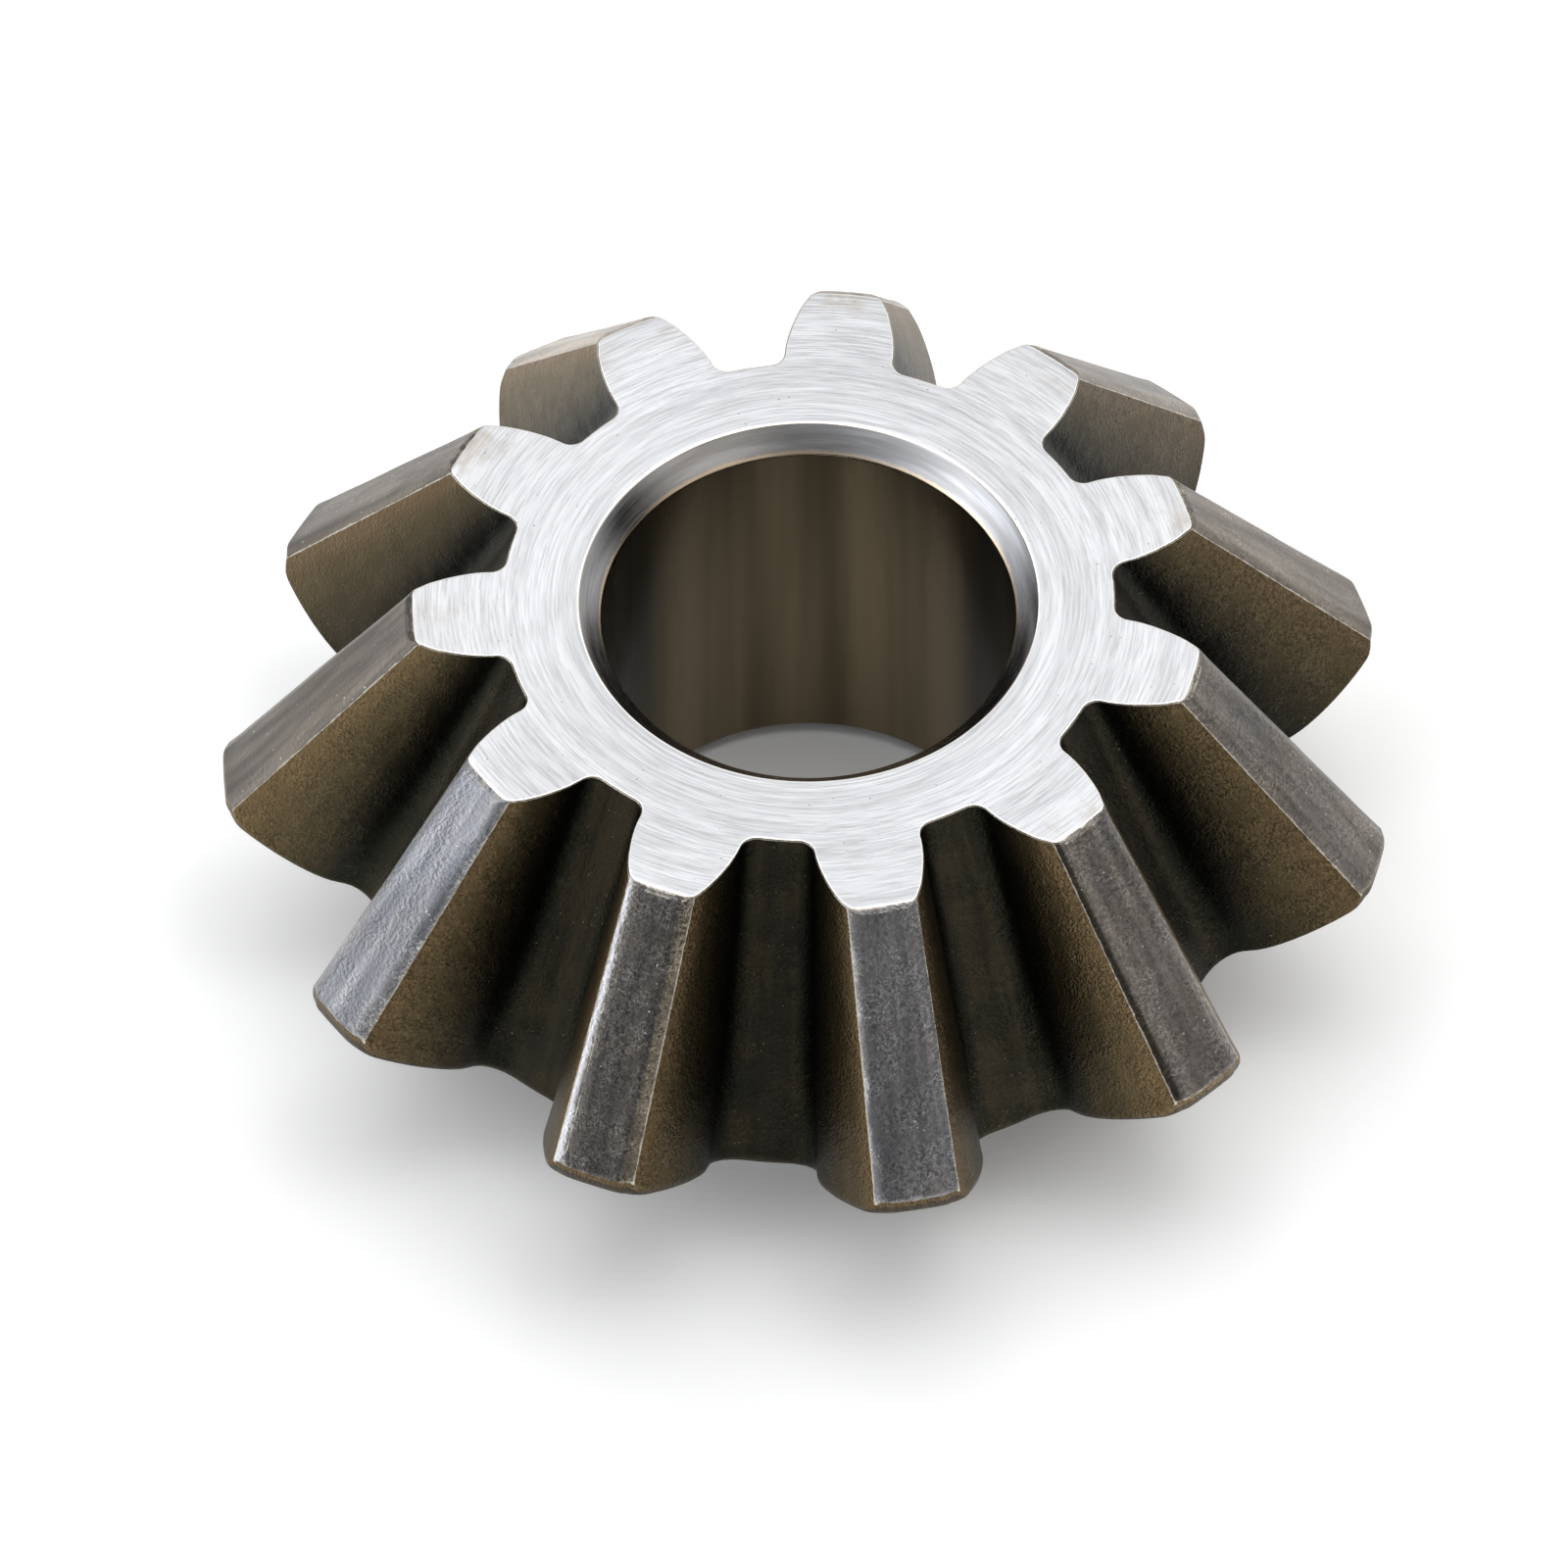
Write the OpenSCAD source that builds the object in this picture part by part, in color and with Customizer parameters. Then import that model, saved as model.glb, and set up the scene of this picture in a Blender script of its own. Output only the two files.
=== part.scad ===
// Differential planet gear: a one-piece forged straight bevel pinion with a machined front
// face, a plain running bore with chamfered mouths and a spherical thrust back.
// Lengths are in millimetres, angles in degrees. The axis of the gear is Z, the small end of
// the teeth looks up (+Z), and the origin is midway along the bore's cylindrical wall.

/* [Tooth system] */
// Number of teeth on this gear
teeth = 11; // [10:1:13]
// Number of teeth on the side gear that it meshes with (sets the pitch cone)
mating_teeth = 18; // [16:1:20]
// Module at the big end, on the pitch cone
outer_module = 6.95; // [6.8:0.05:7.2]
// Pressure angle of the involute flanks
pressure_angle = 22.5; // [20:0.5:25]
// Tooth thickness on the pitch cone as a share of half the pitch
thickness_share = 1.035; // [0.98:0.005:1.06]

/* [Tooth height] */
// Height of the tip above the pitch cone, at the big end
heel_addendum = 5.58; // [5.2:0.05:5.9]
// Depth of the root below the pitch cone, at the big end
heel_dedendum = 6.65; // [6.2:0.05:7.1]
// Angle of the tip cone to the axis
face_angle = 37.75; // [36.75:0.05:39]
// Angle of the root cone to the axis
root_angle = 22.9; // [21.5:0.1:24]
// Fillet radius between flank and root, at the small end
fillet_front = 1.2; // [0.8:0.05:1.4]
// Fillet radius between flank and root, at the big end
fillet_heel = 2.4; // [1.6:0.1:2.6]

/* [Tooth tips] */
// Width of the top land at the small end
land_front = 3.9; // [3.4:0.1:4.2]
// Width of the top land at the big end
land_heel = 4.5; // [4:0.1:4.9]
// Width of the flat bevel along each tip edge, at the small end
edge_bevel = 0.62; // [0.4:0.02:0.75]
// Fall of that bevel from the top land, at the small end
edge_drop = 0.38; // [0.25:0.01:0.5]
// Depth below the tip where the flank turns in towards the bevel, at the small end
corner_drop = 1.45; // [1.2:0.05:1.8]

/* [Blank] */
// Distance from the pitch cone's apex to the front face
apex_to_front = 41.5; // [40.5:0.1:42.5]
// Length of the gear from its front face to its back land
length = 33.9; // [33:0.1:35]
// Depth of the small bevel between front face and tip cone
front_bevel_depth = 0.2; // [0.1:0.02:0.4]
// Radial width of that bevel
front_bevel_width = 0.38; // [0.2:0.02:0.6]
// Bevel at the big end of the teeth, measured back along the tip cone
heel_bevel_run = 0.65; // [0.4:0.05:0.9]
// The same bevel, measured down the back cone
heel_bevel_fall = 0.52; // [0.3:0.02:0.8]

/* [Back] */
// Radius where the back cone ends and the relief to the thrust back starts
relief_start_r = 31.9; // [31:0.1:32.2]
// Angle of that relief to the front face's plane
relief_angle = 47; // [44:0.5:49]
// Outer radius of the narrow flat round the bore's back mouth
back_land_r = 18.5; // [17.8:0.1:19.5]

/* [Bore] */
// Radius of the running bore
bore_r = 15; // [14.5:0.05:15.3]
// Chamfer at the bore's front mouth
front_chamfer = 1.65; // [1.2:0.05:2]
// Chamfer at the bore's back mouth
back_chamfer = 1.2; // [0.8:0.05:1.5]

/* [Hidden] */

steel = [0.52, 0.5, 0.47];
round_fn = 180;
flank_steps = 16;
fillet_steps = 7;
floor_steps = 2;
seat_steps = 8;

// pitch cone, and the cone distance of the back cone that ends the teeth
pitch_angle = atan(teeth / mating_teeth);
cone_distance = outer_module * teeth / (2 * sin(pitch_angle));
half_pitch = 180 / teeth;
// half of the tooth's thickness on the pitch cone, as an angle round the axis
pitch_half = 90 / teeth * thickness_share;

// corner of tip cone and back cone: radius, and depth below the apex
tip_r = cone_distance * sin(pitch_angle) + heel_addendum * cos(pitch_angle);
tip_d = cone_distance * cos(pitch_angle) - heel_addendum * sin(pitch_angle);
// the same for the root line
root_r = cone_distance * sin(pitch_angle) - heel_dedendum * cos(pitch_angle);
root_d = cone_distance * cos(pitch_angle) + heel_dedendum * sin(pitch_angle);

// radius of the tip cone, the root cone and the back cone's depth
function face_r(d) = tip_r + (d - tip_d) * tan(face_angle);
function floor_r(d) = root_r + (d - root_d) * tan(root_angle);
function back_d(r) = (cone_distance - r * sin(pitch_angle)) / cos(pitch_angle);

// thrust back: a sphere round the apex, so that the gear tilts on its seat like its mesh does
back_plane_d = apex_to_front + length;
seat_radius = norm([back_plane_d, back_land_r]);
function seat_d(r) = sqrt(seat_radius * seat_radius - r * r);
function relief_d(r) = back_d(relief_start_r) + (relief_start_r - r) * tan(relief_angle);
// radius where the relief meets the sphere, found by halving
function seat_edge(lo, hi, n) =
    n == 0 ? (lo + hi) / 2 :
    let (m = (lo + hi) / 2)
    relief_d(m) > seat_d(m) ? seat_edge(m, hi, n - 1) : seat_edge(lo, m, n - 1);
seat_r = seat_edge(back_land_r, relief_start_r, 40);

wall_top = -front_chamfer;
wall_bottom = -(length - back_chamfer);
origin_h = (wall_top + wall_bottom) / 2;

// involute on the developed back cone (radii as shares of the cone distance)
pitch_rho = tan(pitch_angle);
base_rho = pitch_rho * cos(pressure_angle);
function involute(a) = tan(a) - a * PI / 180;
function roll(rho) = rho <= base_rho ? 0 : acos(base_rho / rho);
// half thickness of the tooth, as an angle round the axis, on the ray at polar angle phi
function tooth_half(phi) =
    let (rho = pitch_rho + tan(phi - pitch_angle))
    pitch_half + (involute(pressure_angle) - involute(roll(rho))) * 180 / PI / cos(pitch_angle);

// point of the flank at depth d on the ray at polar angle phi; +X is the middle of the space
function flank(d, phi) =
    let (r = d * tan(phi), g = half_pitch - tooth_half(phi)) [r * cos(g), r * sin(g)];
// unit normal of the flank, into the tooth space
function flank_normal(d, phi) =
    let (t = flank(d, phi + 0.02) - flank(d, phi - 0.02)) [t[1], -t[0]] / norm(t);

function fillet_at(d) =
    fillet_front + (fillet_heel - fillet_front) * (d - apex_to_front) / (root_d - apex_to_front);
function fillet_centre(d, phi) = flank(d, phi) + fillet_at(d) * flank_normal(d, phi);
// polar angle where the fillet leaves the flank, found by halving
function fillet_phi(d, lo, hi, n) =
    n == 0 ? (lo + hi) / 2 :
    let (m = (lo + hi) / 2)
    norm(fillet_centre(d, m)) > floor_r(d) + fillet_at(d) ?
        fillet_phi(d, lo, m, n - 1) : fillet_phi(d, m, hi, n - 1);

// a point at radius r and sideways distance w from the middle of the tooth
function beside_tooth(r, w) =
    let (g = half_pitch - asin(w / r)) [r * cos(g), r * sin(g)];
function land_at(d) =
    land_front + (land_heel - land_front) * (d - apex_to_front) / (tip_d - apex_to_front);

// upper half of the tooth space's outline at depth d, from its middle out past the tip
function space_half(d) =
    let (k = d / apex_to_front,
         rt = face_r(d),
         rc = rt - corner_drop * k,
         phi_c = atan(rc / d),
         phi_f = fillet_phi(d, atan(floor_r(d) / d), phi_c, 40),
         c = fillet_centre(d, phi_f),
         from = atan2(-c[1], -c[0]),
         p = flank(d, phi_f) - c,
         to = atan2(p[1], p[0]),
         turn = (to - from + 540) % 360 - 180,
         floor_to = atan2(c[1], c[0]),
         m = beside_tooth(rt - edge_drop * k, land_at(d) / 2 + edge_bevel * k),
         t = beside_tooth(rt, land_at(d) / 2),
         over = t + (t - m) * 0.6,
         away = over * (face_r(reach_d) + 12) / norm(over))
    concat(
        [for (i = [0:floor_steps - 1]) let (a = floor_to * (i + 0.5) / floor_steps)
            floor_r(d) / cos(floor_to * 0.5 / floor_steps) * [cos(a), sin(a)]],
        [for (i = [0:fillet_steps]) let (a = from + turn * i / fillet_steps)
            c + fillet_at(d) * [cos(a), sin(a)]],
        [for (i = [1:flank_steps]) flank(d, phi_f + (phi_c - phi_f) * i / flank_steps)],
        [m, over, away]);

// the cutter runs from above the front face to below the big end
start_d = apex_to_front - 2;
reach_d = root_d + 3;

function outline(d) =
    let (h = space_half(d), n = len(h))
    concat([for (i = [n - 1:-1:0]) [h[i][0], -h[i][1]]], h);

// one tooth space as a solid that widens from the small end to the big end
module tooth_space() {
    top = outline(start_d);
    low = outline(reach_d);
    n = len(top);
    // the last two points are the hubs of the two end faces' triangles
    polyhedron(
        points = concat(
            [for (p = top) [p[0], p[1], apex_to_front - start_d]],
            [for (p = low) [p[0], p[1], apex_to_front - reach_d]],
            [[0.97 * face_r(start_d), 0, apex_to_front - start_d],
             [0.97 * face_r(reach_d), 0, apex_to_front - reach_d]]),
        faces = [for (i = [0:n - 1]) let (j = (i + 1) % n)
            each [[2 * n, i, j], [2 * n + 1, n + j, n + i], [i, n + j, j], [i, n + i, n + j]]],
        convexity = 4);
}

// turned blank: front face, tip cone, back cone, relief, spherical back and chamfered bore
module blank() {
    bevel_r = face_r(apex_to_front + front_bevel_depth);
    rotate_extrude($fn = round_fn)
        polygon(concat(
            [[bore_r + front_chamfer, 0],
             [bevel_r - front_bevel_width, 0],
             [bevel_r, -front_bevel_depth],
             [tip_r - heel_bevel_run * sin(face_angle),
              apex_to_front - tip_d + heel_bevel_run * cos(face_angle)],
             [tip_r - heel_bevel_fall * cos(pitch_angle),
              apex_to_front - tip_d - heel_bevel_fall * sin(pitch_angle)],
             [relief_start_r, apex_to_front - back_d(relief_start_r)]],
            [for (i = [0:seat_steps])
                let (r = seat_r + (back_land_r - seat_r) * i / seat_steps)
                [r, apex_to_front - seat_d(r)]],
            [[bore_r + back_chamfer, -length],
             [bore_r, wall_bottom],
             [bore_r, wall_top]]));
}

module planet_gear() {
    color(steel)
    translate([0, 0, -origin_h])
    difference() {
        blank();
        for (i = [0:teeth - 1])
            rotate([0, 0, (i + 0.5) * 2 * half_pitch - 90])
                tooth_space();
    }
}

planet_gear();
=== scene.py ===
"""Looks of the planet gear: a fine one-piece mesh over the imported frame, its finishes and the studio.

Lengths in the size classes are millimetres and angles are degrees, as a maker writes them; every
point is turned into metres of the row's frame just before it goes into a mesh.
"""

import logging
import math
from collections.abc import Callable
from dataclasses import dataclass, field
from enum import Enum, IntEnum

import bpy
import numpy as np
from mathutils import Matrix, Vector


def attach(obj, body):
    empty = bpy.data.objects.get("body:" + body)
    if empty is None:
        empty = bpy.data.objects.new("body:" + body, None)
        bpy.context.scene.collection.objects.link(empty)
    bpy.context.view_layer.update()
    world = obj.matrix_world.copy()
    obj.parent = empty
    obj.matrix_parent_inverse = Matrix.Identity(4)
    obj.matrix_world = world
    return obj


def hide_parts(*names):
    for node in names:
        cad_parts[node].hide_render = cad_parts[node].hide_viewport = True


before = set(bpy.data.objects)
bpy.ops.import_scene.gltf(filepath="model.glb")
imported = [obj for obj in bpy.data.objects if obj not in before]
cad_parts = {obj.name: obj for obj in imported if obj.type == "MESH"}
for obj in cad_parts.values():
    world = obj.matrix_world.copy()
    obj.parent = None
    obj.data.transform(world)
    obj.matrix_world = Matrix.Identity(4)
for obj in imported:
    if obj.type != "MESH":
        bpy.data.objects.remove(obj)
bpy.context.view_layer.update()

LOG = logging.getLogger("planet_gear")
MM = 0.001
NODE = "planet_gear"
Colour = tuple[float, float, float]
Array = np.ndarray
Socket = bpy.types.NodeSocket
Input = Socket | float | Colour | Vector


class Side(IntEnum):
    """Which side of a tooth, seen along the axis from the small end."""

    CLOCKWISE = -1
    COUNTER = 1


class Zone(Enum):
    """The finish that a strip of the surface carries; its value is the material's place."""

    FACE = 0
    CHAMFER = 1
    BORE = 2
    LAND = 3
    FLANK = 4
    HEEL = 5


# ---------------------------------------------------------------- sizes


@dataclass(frozen=True)
class ToothSizes:
    """The teeth of the gear, as its source gives them.

    The edge's bevel and drop are the facet beside the land; the corner's drop is where the
    facet ends and the flank begins. All three are for the small end and grow with the depth.
    """

    teeth: int = 11
    mating_teeth: int = 18
    outer_module: float = 6.95
    pressure_angle: float = 22.5
    thickness_share: float = 1.035
    heel_addendum: float = 5.58
    heel_dedendum: float = 6.65
    face_angle: float = 37.75
    root_angle: float = 22.9
    fillet_front: float = 1.2
    fillet_heel: float = 2.4
    land_front: float = 3.9
    land_heel: float = 4.5
    edge_bevel: float = 0.62
    edge_drop: float = 0.38
    corner_drop: float = 1.45
    first_tooth: float = -90.0

    @property
    def pitch_angle(self) -> float:
        """Half angle of the pitch cone, in radians."""
        return math.atan(self.teeth / self.mating_teeth)

    @property
    def cone_distance(self) -> float:
        """Distance from the apex to the back cone, along the pitch cone."""
        return self.outer_module * self.teeth / (2 * math.sin(self.pitch_angle))

    @property
    def half_pitch(self) -> float:
        """Half of the angle from tooth to tooth, in radians."""
        return math.pi / self.teeth

    @property
    def tip(self) -> tuple[float, float]:
        """Radius and depth below the apex of the corner of tip cone and back cone."""
        a, c = self.pitch_angle, self.cone_distance
        return (c * math.sin(a) + self.heel_addendum * math.cos(a),
                c * math.cos(a) - self.heel_addendum * math.sin(a))

    @property
    def root(self) -> tuple[float, float]:
        """Radius and depth below the apex of the root line at the big end."""
        a, c = self.pitch_angle, self.cone_distance
        return (c * math.sin(a) - self.heel_dedendum * math.cos(a),
                c * math.cos(a) + self.heel_dedendum * math.sin(a))

    def tip_radius(self, depth: Array | float) -> Array | float:
        """Radius of the tip cone at a depth below the apex."""
        r, d = self.tip
        return r + (depth - d) * math.tan(math.radians(self.face_angle))

    def root_radius(self, depth: Array | float) -> Array | float:
        """Radius of the root cone at a depth below the apex."""
        r, d = self.root
        return r + (depth - d) * math.tan(math.radians(self.root_angle))

    def back_depth(self, radius: Array | float) -> Array | float:
        """Depth of the back cone, which stands square on the pitch cone."""
        return (self.cone_distance - radius * math.sin(self.pitch_angle)) / math.cos(self.pitch_angle)


@dataclass(frozen=True)
class BlankSizes:
    """The turned shape that carries the teeth."""

    apex_to_front: float = 41.5
    length: float = 33.9
    front_bevel_depth: float = 0.2
    front_bevel_width: float = 0.38
    heel_bevel_run: float = 0.65
    heel_bevel_fall: float = 0.52
    relief_start_r: float = 31.9
    relief_angle: float = 47.0
    back_land_r: float = 18.5
    bore_r: float = 15.0
    front_chamfer: float = 1.65
    back_chamfer: float = 1.2

    @property
    def front_height(self) -> float:
        """Height of the front face over the row's origin, midway along the bore's wall."""
        return (self.front_chamfer + self.length - self.back_chamfer) / 2

    @property
    def seat_radius(self) -> float:
        """Radius of the spherical thrust back about the apex."""
        return math.hypot(self.apex_to_front + self.length, self.back_land_r)

    def seat_depth(self, radius: Array) -> Array:
        """Depth of the spherical back: the square root of its radius squared less r squared."""
        return np.sqrt(self.seat_radius ** 2 - radius ** 2)


@dataclass(frozen=True)
class GridSizes:
    """How many strips the mesh has, and how wide its broken edges are, in millimetres.

    The shares place the lines of a strip between its start, 0, and its end, 1.
    """

    land_shares: tuple[float, ...] = (0.0, 0.35, 0.65, 0.86, 0.95, 1.0)
    facet_shares: tuple[float, ...] = (0.16, 0.5, 0.84, 1.0)
    corner_shares: tuple[float, ...] = (0.16, 0.38, 0.62, 0.86, 1.0)
    flank: int = 13
    fillet: int = 7
    floor: int = 3
    along: int = 38
    edge_break: float = 0.07
    corner_round: float = 0.5
    corner_reach: float = 0.9
    forge_wave: float = 0.07
    wave_length: float = 4.5

    @property
    def land(self) -> int:
        """Number of strips on half of a land."""
        return len(self.land_shares) - 1

    @property
    def facet(self) -> int:
        """Number of strips on the facet beside the land."""
        return len(self.facet_shares)

    @property
    def corner(self) -> int:
        """Number of strips from the facet to the flank."""
        return len(self.corner_shares)


# ---------------------------------------------------------------- mathematics of the surface


HASH_AXES = (73856093, 19349663, 83492791)  # large primes that scatter a place on the lattice
HASH_SEED, HASH_MIX, HASH_MASK = 2654435761, 1274126177, 65535


def lattice_noise(points: Array, cell: float, seed: int) -> Array:
    """Smooth noise between -1 and 1, the same on each run.

    Every corner of a cubic lattice has a value hashed from its place; between them the values
    are blended with the weight 6t^5 - 15t^4 + 10t^3 along each axis.

    Args:
        points: positions, shape (..., 3).
        cell: side of a lattice cell, in the points' unit.
        seed: picks another field of values.

    Returns:
        One value for each point, shape (...).
    """
    scaled = points / cell
    base = np.floor(scaled).astype(np.int64)
    t = scaled - base
    t = t * t * t * (t * (6 * t - 15) + 10)
    axes = np.array(HASH_AXES, np.uint64)
    total = np.zeros(points.shape[:-1])
    for corner in np.ndindex(2, 2, 2):
        c = np.array(corner)
        place = (base + c).astype(np.uint64) * axes
        mixed = place[..., 0] ^ place[..., 1] ^ place[..., 2] ^ np.uint64(seed * HASH_SEED)
        mixed = (mixed ^ (mixed >> np.uint64(13))) * np.uint64(HASH_MIX)
        value = ((mixed >> np.uint64(16)) & np.uint64(HASH_MASK)).astype(float) / (HASH_MASK / 2) - 1
        total += value * np.prod(np.where(c == 1, t, 1 - t), axis=-1)
    return total


def turned(points: Array, angle: Array | float) -> Array:
    """Points in the plane turned by an angle in radians about the origin."""
    c, s = np.cos(angle), np.sin(angle)
    return np.stack([points[..., 0] * c - points[..., 1] * s,
                     points[..., 0] * s + points[..., 1] * c], axis=-1)


def inward(curve: Array) -> Array:
    """Unit normals in the plane of a closed counter-clockwise curve, towards its inside.

    The tangent at a point is the line between its two neighbours, turned left.

    Args:
        curve: its points, shape (points, 2).

    Returns:
        The normals, shape (points, 2).
    """
    along = np.roll(curve, -1, axis=0) - np.roll(curve, 1, axis=0)
    normal = np.stack([-along[:, 1], along[:, 0]], axis=-1)
    return normal / np.linalg.norm(normal, axis=-1, keepdims=True)


class ToothForm:
    """Half of a tooth and half of the space beside it, as lines from the small end to the big end.

    A half profile runs from the middle of the land (place 0) to the middle of the root floor.
    The flank is the involute of the back cone's virtual gear: at the polar angle phi the ray
    meets the back cone at rho = tan(pitch) + tan(phi - pitch), and the tooth's half thickness
    there is its value at the pitch cone plus the difference of the two involute angles.
    """

    ABOVE, BELOW = 2.0, 3.0  # how far the lines reach past the front face and past the root's end
    HALVINGS = 40  # steps of the search for the place where the fillet touches the flank
    NUDGE = 3e-4  # half of the step, in radians, over which the flank's direction is taken

    def __init__(self, teeth: ToothSizes, blank: BlankSizes, grid: GridSizes) -> None:
        """Works out the profile at two depths; every line between them is straight.

        Args:
            teeth: sizes of the teeth.
            blank: sizes of the turned shape.
            grid: numbers of strips.
        """
        self.teeth, self.blank, self.grid = teeth, blank, grid
        self.start = blank.apex_to_front - self.ABOVE
        self.reach = teeth.root[1] + self.BELOW
        ends = [self._profile(d) for d in (self.start, self.reach)]
        self.lines = np.stack(ends)  # (2, places, 2)
        self.land_edge = grid.land
        self.facet_edge = grid.land + grid.facet
        self.corner_edge = self.facet_edge + grid.corner
        self.fillet_start = self.corner_edge + grid.flank
        self.floor_start = self.fillet_start + grid.fillet
        self.last = self.floor_start + grid.floor
        self.land_share = np.array(grid.land_shares)

    def _half_angle(self, phi: Array) -> Array:
        """Half thickness of the tooth as an angle about the axis, at polar angles phi.

        Args:
            phi: polar angles from the axis at the apex, in radians.

        Returns:
            The angles, in radians.
        """
        t = self.teeth
        rho = math.tan(t.pitch_angle) + np.tan(phi - t.pitch_angle)
        base = math.tan(t.pitch_angle) * math.cos(math.radians(t.pressure_angle))
        roll = np.arccos(np.minimum(base / rho, 1.0))
        pressure = math.radians(t.pressure_angle)
        involutes = math.tan(pressure) - pressure - (np.tan(roll) - roll)
        return t.half_pitch / 2 * t.thickness_share + involutes / math.cos(t.pitch_angle)

    def _flank(self, depth: float, phi: Array) -> Array:
        """Flank points at a depth, with the middle of the tooth along +X.

        Args:
            depth: distance below the apex.
            phi: polar angles, in radians.

        Returns:
            Points (places, 2).
        """
        r = depth * np.tan(phi)
        g = self._half_angle(phi)
        return np.stack([r * np.cos(g), r * np.sin(g)], axis=-1)

    def _fillet_centre(self, depth: float, phi: float, radius: float) -> Array:
        """Centre of a fillet of that radius that touches the flank at phi.

        Args:
            depth: distance below the apex.
            phi: polar angle of the touching point, in radians.
            radius: the fillet's radius.

        Returns:
            The centre, shape (2,).
        """
        p = self._flank(depth, np.array([phi - self.NUDGE, phi, phi + self.NUDGE]))
        t = p[2] - p[0]
        return p[1] + radius * np.array([-t[1], t[0]]) / np.linalg.norm(t)

    def _beside(self, radius: float, width: float) -> Array:
        """The point at a radius and a sideways distance from the tooth's middle."""
        return np.array([math.sqrt(radius ** 2 - width ** 2), width])

    def _profile(self, depth: float) -> Array:
        """All places of the half profile at one depth.

        Args:
            depth: distance below the apex.

        Returns:
            Points (places, 2). Those of the land are on a straight line here and are put on
            the tip cone by `at`.
        """
        t, g, k = self.teeth, self.grid, depth / self.blank.apex_to_front
        tip, root = t.tip_radius(depth), t.root_radius(depth)
        share = depth - self.blank.apex_to_front
        fillet = t.fillet_front + (t.fillet_heel - t.fillet_front) * share / (t.root[1] - self.blank.apex_to_front)
        land = t.land_front + (t.land_heel - t.land_front) * share / (t.tip[1] - self.blank.apex_to_front)
        corner_phi = math.atan((tip - t.corner_drop * k) / depth)
        low, high = math.atan(root / depth), corner_phi
        for _ in range(self.HALVINGS):
            middle = (low + high) / 2
            outside = np.linalg.norm(self._fillet_centre(depth, middle, fillet)) > root + fillet
            low, high = (low, middle) if outside else (middle, high)
        fillet_phi = (low + high) / 2
        centre = self._fillet_centre(depth, fillet_phi, fillet)
        top = self._beside(tip, land / 2)
        low_edge = self._beside(tip - t.edge_drop * k, land / 2 + t.edge_bevel * k)
        flank = self._flank(depth, fillet_phi + (corner_phi - fillet_phi) * np.linspace(1, 0, g.flank + 1))
        spoke = self._flank(depth, np.array([fillet_phi]))[0] - centre
        begin = math.atan2(spoke[1], spoke[0])
        end = math.atan2(-centre[1], -centre[0])
        sweep = (end - begin + math.pi) % (2 * math.pi) - math.pi
        arc = begin + sweep * np.linspace(0, 1, g.fillet + 1)
        fillet_points = centre + fillet * np.stack([np.cos(arc), np.sin(arc)], axis=-1)
        floor_from = math.atan2(centre[1], centre[0])
        floor_arc = floor_from + (t.half_pitch - floor_from) * np.linspace(0, 1, g.floor + 1)
        floor = root * np.stack([np.cos(floor_arc), np.sin(floor_arc)], axis=-1)
        facet = top + (low_edge - top) * np.array(g.facet_shares)[:, None]
        corner = low_edge + (flank[0] - low_edge) * np.array(g.corner_shares)[:, None]
        middle = np.array([math.hypot(*top), 0.0])
        land_line = middle + (top - middle) * np.linspace(0, 1, g.land + 1)[:, None]
        return np.concatenate([land_line, facet, corner, flank[1:], fillet_points[1:], floor[1:]])

    def at(self, place: Array, depth: Array) -> Array:
        """Points of the half profile, in the tooth's own frame.

        Off the land a point is the straight blend of its line's two ends. On the land it is on
        the tip cone, at its share of the angle of the land's edge.

        Args:
            place: which line, shape (columns,).
            depth: depths below the apex, shape (columns, rows).

        Returns:
            Points (columns, rows, 2).
        """
        f = ((depth - self.start) / (self.reach - self.start))[..., None]
        ends = self.lines[:, place]
        points = ends[0][:, None] * (1 - f) + ends[1][:, None] * f
        edge = self.lines[:, self.land_edge]
        edge = edge[0] * (1 - f) + edge[1] * f
        share = self.land_share[np.minimum(place, self.land_edge)][:, None]
        angle = np.arctan2(edge[..., 1], edge[..., 0]) * share
        radius = self.teeth.tip_radius(depth)
        land = np.stack([radius * np.cos(angle), radius * np.sin(angle)], axis=-1)
        return np.where((place <= self.land_edge)[:, None, None], land, points)


@dataclass
class Strips:
    """Rows of points of the closed surface that are being gathered, with what goes with each row."""

    FAR = 9.0  # a distance at which an edge's wear no longer shows

    points: list[Array] = field(default_factory=list)
    zones: list[Zone] = field(default_factory=list)
    edge_near: list[Array] = field(default_factory=list)

    def add(self, points: Array, zone: Zone, near: Array | float = FAR) -> None:
        """Adds one row.

        Args:
            points: the row's points, shape (columns, 3).
            zone: finish of the strip between this row and the next.
            near: distance to the nearest edge that runs round the gear.
        """
        self.points.append(points)
        self.zones.append(zone)
        self.edge_near.append(np.broadcast_to(np.asarray(near, float), points.shape[:1]))


@dataclass(frozen=True)
class ToothLife:
    """What handling did to one tooth, and how light its land and flanks are.

    counter and clockwise are how brightly the facet on that side is ground, below 0 where it
    is a dark groove, blunt is how far its heel is worn back in millimetres, tone is how light
    its land is, warmth goes from 0 for a blue-grey skin to 1 for a brown one, grain is how
    rough its land is, and skin is how light its flanks are. Tone and skin also lighten or
    darken whole teeth as the light falls on them, so they are partly painted light.
    """

    counter: float = 0.35
    clockwise: float = 0.35
    blunt: float = 0.0
    tone: float = 1.0
    warmth: float = 0.6
    grain: float = 0.4
    skin: float = 1.0


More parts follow.
